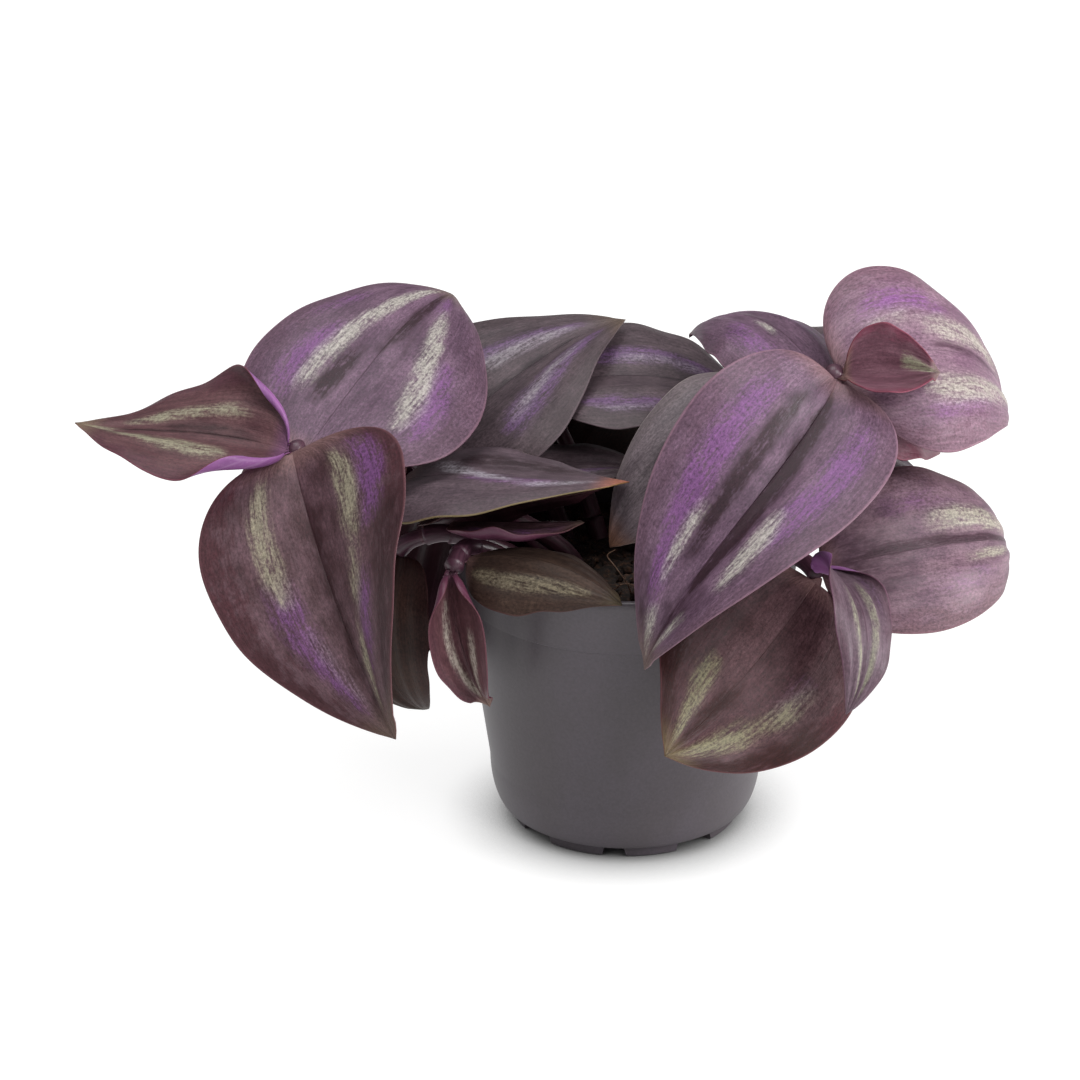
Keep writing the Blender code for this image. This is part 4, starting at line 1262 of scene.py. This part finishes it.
        Leaf("leaf_middle_broad", (-14, 22.5, 83), -3, 18, 9, 53, 5, 0, 3, 45, 40, 21, 39,
             skin=Skin.DUSK, seed=26, strokes=(
                 violet(0.15, 0.82, 0.30, 0.34, 0.30, 0.115, 1.1),
                 silver(0.25, 0.75, 0.26, 0.30, 0.28, 0.06, 0.7),
                 violet(0.12, 0.72, -0.62, -0.66, -0.60, 0.127, 1.1),
                 silver(0.15, 0.60, -0.70, -0.72, -0.66, 0.072, 0.6),
                 dark(0.20, 0.85, 0.0, 0.0, 0.0, 0.06, 0.7),)),
        Leaf("leaf_middle_rear", (-16, 24, 80), 89, 15, -13, 31, 15, -9, 0, 42, 26, 21, 39,
             skin=Skin.DUSK, seed=27),
        # Painted shade: a dark leaf with no strokes that fills a gap into the plant's shaded
        # middle.
        Leaf("leaf_middle_low", (-10.5, 19.5, 68), 65, 19, 16, 27, 0, -2, 2, 53, 26, 6, 32,
             skin=Skin.SHADED_UMBER, under=Underside.DARK, slot=Slot.SHADED, seed=37,
             strokes=()),
    )),
    Shoot("shoot_rear_right", ((8, 9, 44), (12, 13, 56), (22, 24, 67), (32, 36, 71.5), (38, 48,
          71.5)), leaves=(
        Leaf("leaf_rear_right_hanging", (28.5, 28.5, 68), 7, -30, -19, 87, 3, -7, 2, 60, 38, 13,
             31, skin=Skin.BRONZE, seed=28),
        Leaf("leaf_rear_right_outer", (35.5, 38, 71), 5, -34, -17, 24, 18, 4, -14, 59, 40, 16,
             45, skin=Skin.PALE, seed=29),
        Leaf("leaf_rear_right_low", (38.5, 50, 71), 121, -36, 8, 83, 17, 0, 9, 62, 42, 9, 35,
             skin=Skin.BRONZE, seed=30),
        Leaf("leaf_rear_right_top", (35, 50.5, 76), 60, 5, -28, 54, 1, 6, 8, 60, 39, 25, 37,
             skin=Skin.MATURE, seed=31),
    )),
    Shoot("shoot_far_left", ((-9, 10, 44), (-13, 15, 56), (-20, 27, 67), (-29, 40, 70), (-36, 49,
          69)), leaves=(
        Leaf("leaf_far_left_hanging", (-24.5, 32, 67), 178, -19, 6, 78, 9, 1, 7, 58, 38, 21, 32,
             skin=Skin.BRONZE, seed=32),
        Leaf("leaf_far_left_outer", (-38, 48.5, 70), -139, 11, -20, 91, 17, -1, 9, 59, 38, 17,
             31, skin=Skin.MATURE, seed=33),
        Leaf("leaf_far_left_top", (-34, 49.5, 68.5), 26, 10, 5, 17, 15, 6, -14, 56, 37, 24, 42,
             skin=Skin.MATURE, seed=34),
    )),
    Shoot("shoot_far", ((3, 12, 44), (3, 18, 56), (1, 29, 66), (-1, 40, 65.5)), leaves=(
        Leaf("leaf_far_top", (4, 43.5, 69.5), 90, 12, 7, 58, 15, -4, -12, 56, 37, 22, 53,
             skin=Skin.MATURE, seed=35),
    )),
)


# ---------------------------------------------------------------- pot and compost

@dataclass(frozen=True)
class Pot:
    """The 7 cm nursery pot: a thin tapered shell on a notched foot, with a drain at each wide
    notch."""
    height: float = 61.0
    rim_radius: float = 35.0
    band: float = 12.0
    band_proud: float = 0.35
    wall_foot: float = 25.3
    slope: float = 0.15
    wall: float = 1.2
    lip: float = 1.8
    corner: float = 13.0
    foot_radius: float = 22.7
    foot_height: float = 2.2
    foot_inner: float = 18.6
    centre: float = 14.5
    floor: float = 1.4
    notch_height: float = 2.0
    notches: tuple[tuple[float, float], ...] = ((-6.0, 4.7), (37.5, 8.4))
    drain_radius: float = 1.3
    drain_circle: float = 16.8
    steps: int = 288

    REPEATS = 4                    # of each notch and of the drain, round the foot
    AXIS = 0.01                    # radius of the rings next to the axis
    INSIDE_POINTS = 14             # on the inner lower corner
    CORNER_POINTS = 22             # on the outer lower corner
    LIP_POINTS = 9
    LIP_RISE = 0.6
    RING_POINTS = 13               # across the raised ring under the floor
    LOWER_ROWS = 27                # the foot, that ring and the corner's lowest points
    DRAIN_LIFT = 1.2
    SHARP = 38.0                   # degrees; a sharper edge is not shaded smooth

    def wall_radius(self, height: float) -> float:
        """Return the outside radius of the straight wall at a height."""
        return self.wall_foot + self.slope * height

    def corner_line(self, start: tuple[float, float], end: tuple[float, float],
                    count: int) -> Array:
        """Draw a quarter ellipse: radius falls as a cosine while height falls as a sine.

        Args:
            start: radius and height of its upper end.
            end: radius and height of its lower end.
            count: how many points it has.

        Returns:
            Its points as radius and height.
        """
        turn = np.linspace(0.0, math.pi / 2.0, count)
        return np.stack([end[0] + (start[0] - end[0]) * np.cos(turn),
                         start[1] + (end[1] - start[1]) * np.sin(turn)], axis=1)

    def section(self) -> Array:
        """Draw the pot's section, up the inside and down the outside.

        Steps of less than a millimetre ease the edges, as a mould does.

        Returns:
            Its points as radius and height.
        """
        low_band = self.height - self.band
        floor_top = self.foot_height + self.floor
        radius = self.wall_radius
        inside = self.corner_line((radius(self.corner) - self.wall, self.corner),
                                  (self.foot_radius - 1.0, floor_top), self.INSIDE_POINTS)[::-1]
        outside = self.corner_line((radius(self.corner), self.corner),
                                   (self.foot_radius + 0.4, self.foot_height), self.CORNER_POINTS)
        lip_turn = np.linspace(0.0, math.pi, self.LIP_POINTS)
        lip = np.stack([self.rim_radius - self.lip / 2.0 - self.lip / 2.0 * np.cos(lip_turn),
                        self.height - self.LIP_RISE + self.LIP_RISE * np.sin(lip_turn)], axis=1)
        ring = np.stack([np.linspace(self.foot_inner, self.centre + 0.5, self.RING_POINTS),
                         np.full(self.RING_POINTS, self.foot_height)], axis=1)
        return np.concatenate([
            [(self.AXIS, self.floor), (self.centre - 0.6, self.floor),
             (self.centre + 0.4, floor_top)],
            inside, [(radius(low_band) - self.wall, low_band)], lip,
            [(self.rim_radius - 0.05, self.height - 1.5),
             (self.rim_radius - 0.3, self.height - 2.0),
             (radius(low_band) + self.band_proud, low_band + 0.5),
             (radius(low_band) + self.band_proud - 0.1, low_band + 0.15),
             (radius(low_band), low_band)],
            outside,
            [(self.foot_radius + 0.15, self.foot_height - 0.02),
             (self.foot_radius, self.foot_height - 0.25), (self.foot_radius, 0.3),
             (self.foot_radius - 0.3, 0.0), (self.foot_inner + 0.2, 0.0),
             (self.foot_inner, 0.2)],
            ring, [(self.centre, 0.0), (self.AXIS, 0.0)]])

    def build(self, plastic: Material) -> bpy.types.Object:
        """Turn the section round the axis, then lift the foot at its notches and drains.

        A point is (radius sin v, -radius cos v, height). Where the arc from a notch's bearing is
        shorter than half its width, the foot's points rise to the notch's roof; points of the
        raised ring inside a drain's circle rise to make its hole.

        Args:
            plastic: the pot's material.

        Returns:
            The finished piece.
        """
        section = self.section()
        bearing = np.linspace(0.0, 2.0 * math.pi, self.steps, endpoint=False)
        quarters = np.arange(self.REPEATS) * 2.0 * math.pi / self.REPEATS
        radius = section[:, :1] + 0.0 * bearing
        height = section[:, 1:] + 0.0 * bearing
        lower = np.zeros(radius.shape, bool)
        lower[-self.LOWER_ROWS:] = True
        for middle, width in self.notches:
            around = bearing - (np.radians(middle) + quarters)[:, None]
            away = np.abs((around + math.pi) % (2.0 * math.pi) - math.pi).min(axis=0)
            inside = (away * self.foot_radius < width / 2.0) & lower & (
                radius > self.foot_inner - 0.5)
            height = np.where(inside, np.maximum(height, self.notch_height), height)
        x, y = radius * np.sin(bearing), -radius * np.cos(bearing)
        drains = np.radians(self.notches[1][0]) + quarters
        to_drain = np.hypot(x[..., None] - self.drain_circle * np.sin(drains),
                            y[..., None] + self.drain_circle * np.cos(drains)).min(axis=-1)
        height = np.where((to_drain < self.drain_radius) & lower, height + self.DRAIN_LIFT,
                          height)
        mesh = Mesh.capped(np.stack([x, y, height], axis=-1),
                           [(0.0, 0.0, self.floor), (0.0, 0.0, 0.0)])
        piece = mesh.to_piece("pot_shell", (plastic,), Slot.POT)
        piece.data.set_sharp_from_angle(angle=math.radians(self.SHARP))
        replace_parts(piece, "pot")
        return piece


@dataclass(frozen=True)
class Compost:
    """The compost: a plug with a crumbly crowned top, and loose crumbs on it."""
    top: float = 54.0
    crown: float = 1.0
    radius: float = 31.8
    foot: float = 22.0
    bottom: float = 4.0
    crumbs: int = 260
    crumb_size: tuple[float, float] = (0.5, 1.3)

    SIDES = 150                    # points in each ring of the plug
    RINGS = 64                     # rings on its top
    SETTLED = 0.4                  # how far the rough top lies under the crown's curve
    EDGE = 1.5                     # how far crumbs stay from the plug's edge
    SUNK = 0.25                    # share of its size that a crumb's middle stands up
    CRUMB_SEED = 7

    def height(self, x: Array, y: Array) -> Array:
        """Work out the top's height: a low crown plus three sets of crossed waves, 2 to 9 mm long.

        Args:
            x: places to the right of the axis.
            y: places behind it.

        Returns:
            The height at each place.
        """
        radius = np.hypot(x, y)
        waves = (0.35 * np.sin(0.7 * x + 1.0) * np.sin(0.8 * y + 2.0)
                 + 0.30 * np.sin(1.7 * x + 0.6 * y) * np.sin(1.5 * y - 0.4 * x + 1.0)
                 + 0.20 * np.sin(3.3 * x + 1.1 * y + 0.5) * np.sin(2.9 * y - 0.9 * x))
        return self.top + self.crown * (1.0 - (radius / self.radius) ** 2) + waves - self.SETTLED

    def build(self, peat: Material) -> None:
        """Turn the plug as one skin from the middle of its top down, and scatter the crumbs.

        Args:
            peat: the compost's material.
        """
        turn = np.linspace(0.0, 2.0 * math.pi, self.SIDES, endpoint=False)
        rings = np.linspace(0.02, 1.0, self.RINGS)[:, None] * self.radius
        x, y = rings * np.cos(turn), rings * np.sin(turn)
        top = np.stack([x, y, self.height(x, y)], axis=-1)
        wall = np.array([(self.radius - 0.6, self.top - 3.0), (self.foot + 4.6, 13.0),
                         (self.foot, self.bottom + 2.0), (self.foot - 2.0, self.bottom)])
        low = np.stack([wall[:, :1] * np.cos(turn), wall[:, :1] * np.sin(turn),
                        np.broadcast_to(wall[:, 1:], (len(wall), self.SIDES))], axis=-1)
        mesh = Mesh.capped(np.concatenate([top, low]),
                           [(0.0, 0.0, top[0, :, 2].mean()), (0.0, 0.0, self.bottom)])
        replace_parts(mesh.to_piece("compost_top", (peat,), Slot.COMPOST), "compost")
        self.scatter(peat)

    def scatter(self, peat: Material) -> None:
        """Scatter crumbs: twenty-sided lumps, each misshapen at random, all in one piece.

        Args:
            peat: the compost's material.
        """
        golden = (1.0 + math.sqrt(5.0)) / 2.0
        corners = np.array([(-1, golden, 0), (1, golden, 0), (-1, -golden, 0), (1, -golden, 0),
                            (0, -1, golden), (0, 1, golden), (0, -1, -golden), (0, 1, -golden),
                            (golden, 0, -1), (golden, 0, 1), (-golden, 0, -1), (-golden, 0, 1)])
        sides = np.array([(0, 11, 5), (0, 5, 1), (0, 1, 7), (0, 7, 10), (0, 10, 11), (1, 5, 9),
                          (5, 11, 4), (11, 10, 2), (10, 7, 6), (7, 1, 8), (3, 9, 4), (3, 4, 2),
                          (3, 2, 6), (3, 6, 8), (3, 8, 9), (4, 9, 5), (2, 4, 11), (6, 2, 10),
                          (8, 6, 7), (9, 8, 1)])
        draw = np.random.default_rng(self.CRUMB_SEED)
        reach = (self.radius - self.EDGE) * np.sqrt(draw.uniform(0.0, 1.0, self.crumbs))
        turn = draw.uniform(0.0, 2.0 * math.pi, self.crumbs)
        x, y = reach * np.cos(turn), reach * np.sin(turn)
        size = draw.uniform(*self.crumb_size, self.crumbs)
        shape = unit(corners.astype(float)) * draw.uniform(
            0.75, 1.2, (self.crumbs, len(corners), 1))
        shape *= size[:, None, None] * draw.uniform(0.6, 1.25, (self.crumbs, 1, 3))
        places = np.stack([x, y, self.height(x, y) + self.SUNK * size], axis=1)
        points = (shape + places[:, None]).reshape(-1, 3)
        faces = (sides + len(corners) * np.arange(self.crumbs)[:, None, None]).reshape(-1, 3)
        Mesh(points, faces.tolist()).to_piece("compost_crumbs", (peat,), Slot.COMPOST,
                                            smooth=False)


@dataclass(frozen=True)
class RootFibre:
    """A thin aerial root or dry fibre that curls up out of the compost."""
    name: str
    route: tuple[tuple[float, float, float], ...]
    radius: float = 0.16
    spacing: float = 0.3           # mm between points of its line
    sides: int = 8

    def build(self, skin: Material) -> bpy.types.Object:
        """Make the fibre as a thin tube that tapers to half its thickness.

        Args:
            skin: the fibre's material.

        Returns:
            The finished piece.
        """
        line = smooth_line(np.array(self.route, float), self.spacing)
        radii = np.linspace(self.radius, self.radius * 0.5, len(line))
        return tube(line, radii, self.sides).to_piece(self.name, (skin,), Slot.STEM)


FIBRES = (
    RootFibre("root_fibre_front", ((-2, -20, 54), (-3, -21, 57), (-1, -22.5, 59.5),
                                   (1, -22, 59.2), (2.5, -22.5, 58.2))),
    RootFibre("root_fibre_curl", ((1, -17, 54), (0, -19, 58), (-2.5, -20.5, 62.5), (-4, -21, 65),
                                  (-2.5, -21.5, 66.5))),
)


# ---------------------------------------------------------------- studio

@dataclass(frozen=True)
class Studio:
    """A white table top under soft lights, and the camera."""
    target: tuple[float, float, float] = (-0.0172, 0.0052, 0.0568)
    elevation: float = 23.8
    distance: float = 1.4
    focal: float = 233.3
    sensor: float = 36.0
    surround: float = 0.22         # strength of the even light from all round
    aim: float = 0.06              # height that the lamps face, on the axis
    reach: float = 4.0             # half the table top's side
    drop: float = 0.0002           # how far the table top lies under the pot

    def build(self) -> None:
        """Make the camera, the lights, the surround and the table top."""
        scene = bpy.context.scene
        scene.view_settings.view_transform = "Standard"
        rise = math.radians(self.elevation)
        camera = bpy.data.cameras.new("camera")
        camera.lens, camera.sensor_width, camera.clip_end = self.focal, self.sensor, 20.0
        eye = bpy.data.objects.new("camera", camera)
        scene.collection.objects.link(eye)
        eye.location = (self.target[0], self.target[1] - self.distance * math.cos(rise),
                        self.target[2] + self.distance * math.sin(rise))
        eye.rotation_euler = (math.pi / 2.0 - rise, 0.0, 0.0)
        scene.camera = eye
        self.lamp("key", (0.75, -0.75, 1.05), 0.7, 16.0)
        self.lamp("side", (1.15, -0.15, 0.16), 0.4, 12.0)
        self.lamp("fill", (-0.8, -0.8, 0.9), 0.9, 3.0)
        self.lamp("top", (-0.2, 0.2, 1.3), 1.0, 12.0)
        world = bpy.data.worlds.new("surround")
        world.use_nodes = True
        background = world.node_tree.nodes["Background"]
        background.inputs["Color"].default_value = to_linear("#ffffff")
        background.inputs["Strength"].default_value = self.surround
        scene.world = world
        self.table()

    def lamp(self, name: str, place: tuple[float, float, float], side: float,
             power: float) -> None:
        """Hang a square softbox that faces the plant.

        Args:
            name: the lamp's name.
            place: where it hangs, in metres.
            side: length of its side, in metres.
            power: its power in watts.
        """
        light = bpy.data.lights.new(name, "AREA")
        light.size, light.energy = side, power
        lamp = bpy.data.objects.new(name, light)
        bpy.context.scene.collection.objects.link(lamp)
        away = np.array(place) - np.array((0.0, 0.0, self.aim))
        lamp.location = place
        lamp.rotation_euler = (math.acos(away[2] / np.linalg.norm(away)), 0.0,
                               math.atan2(away[1], away[0]) + math.pi / 2.0)

    def table(self) -> None:
        """Lay the table top: a matt white sheet that glows a little, as a light table does. Its
        light fades near the pot, which paints a contact shadow.
        """
        mesh = bpy.data.meshes.new("table_top")
        corners = ((-1.0, -1.0), (1.0, -1.0), (1.0, 1.0), (-1.0, 1.0))
        mesh.from_pydata([(x * self.reach, y * self.reach, -self.drop) for x, y in corners], [],
                         [(0, 1, 2, 3)])
        material, tree = new_material("glowing_table_with_painted_shadow")
        # Painted shadow: the sheet glows less where the pot comes within 2 cm of it.
        near = add_node(tree, "ShaderNodeAmbientOcclusion", {"Distance": 0.018}, samples=8)
        glow_with_painted_shadow = add_node(tree, "ShaderNodeMapRange", {
            "Value": near.outputs["AO"], "From Min": 0.1, "From Max": 0.95},
            interpolation_type="SMOOTHSTEP").outputs["Result"]
        surface(tree, {"Base Color": to_linear("#828281"), "Roughness": 0.9,
                       "Specular IOR Level": 0.0, "Emission Color": glow_with_painted_shadow,
                       "Emission Strength": 0.9})
        mesh.materials.append(material)
        top = bpy.data.objects.new("table_top", mesh)
        bpy.context.scene.collection.objects.link(top)


# ---------------------------------------------------------------- the plant

def main() -> None:
    """Build the studio, the pot, the compost and each shoot with its leaves."""
    Studio().build()
    skins: dict[Enum, Material] = {
        choice: choice.value.build() for group in (Skin, Underside) for choice in group}
    stem = StemFinish("stem_skin", "#43272f", "#5a3544").build()
    sheath = StemFinish("sheath_skin", "#3f2431", "#533442").build()
    fibre = StemFinish("root_skin", "#8a6a58", "#a68770", 0.7).build()
    peat = CompostFinish().build()
    Pot().build(PotFinish().build())
    Compost().build(peat)
    for shoot in SHOOTS:
        shoot.build(skins, stem, sheath)
    for root in FIBRES:
        root.build(fibre)


if __name__ == "__main__":
    main()
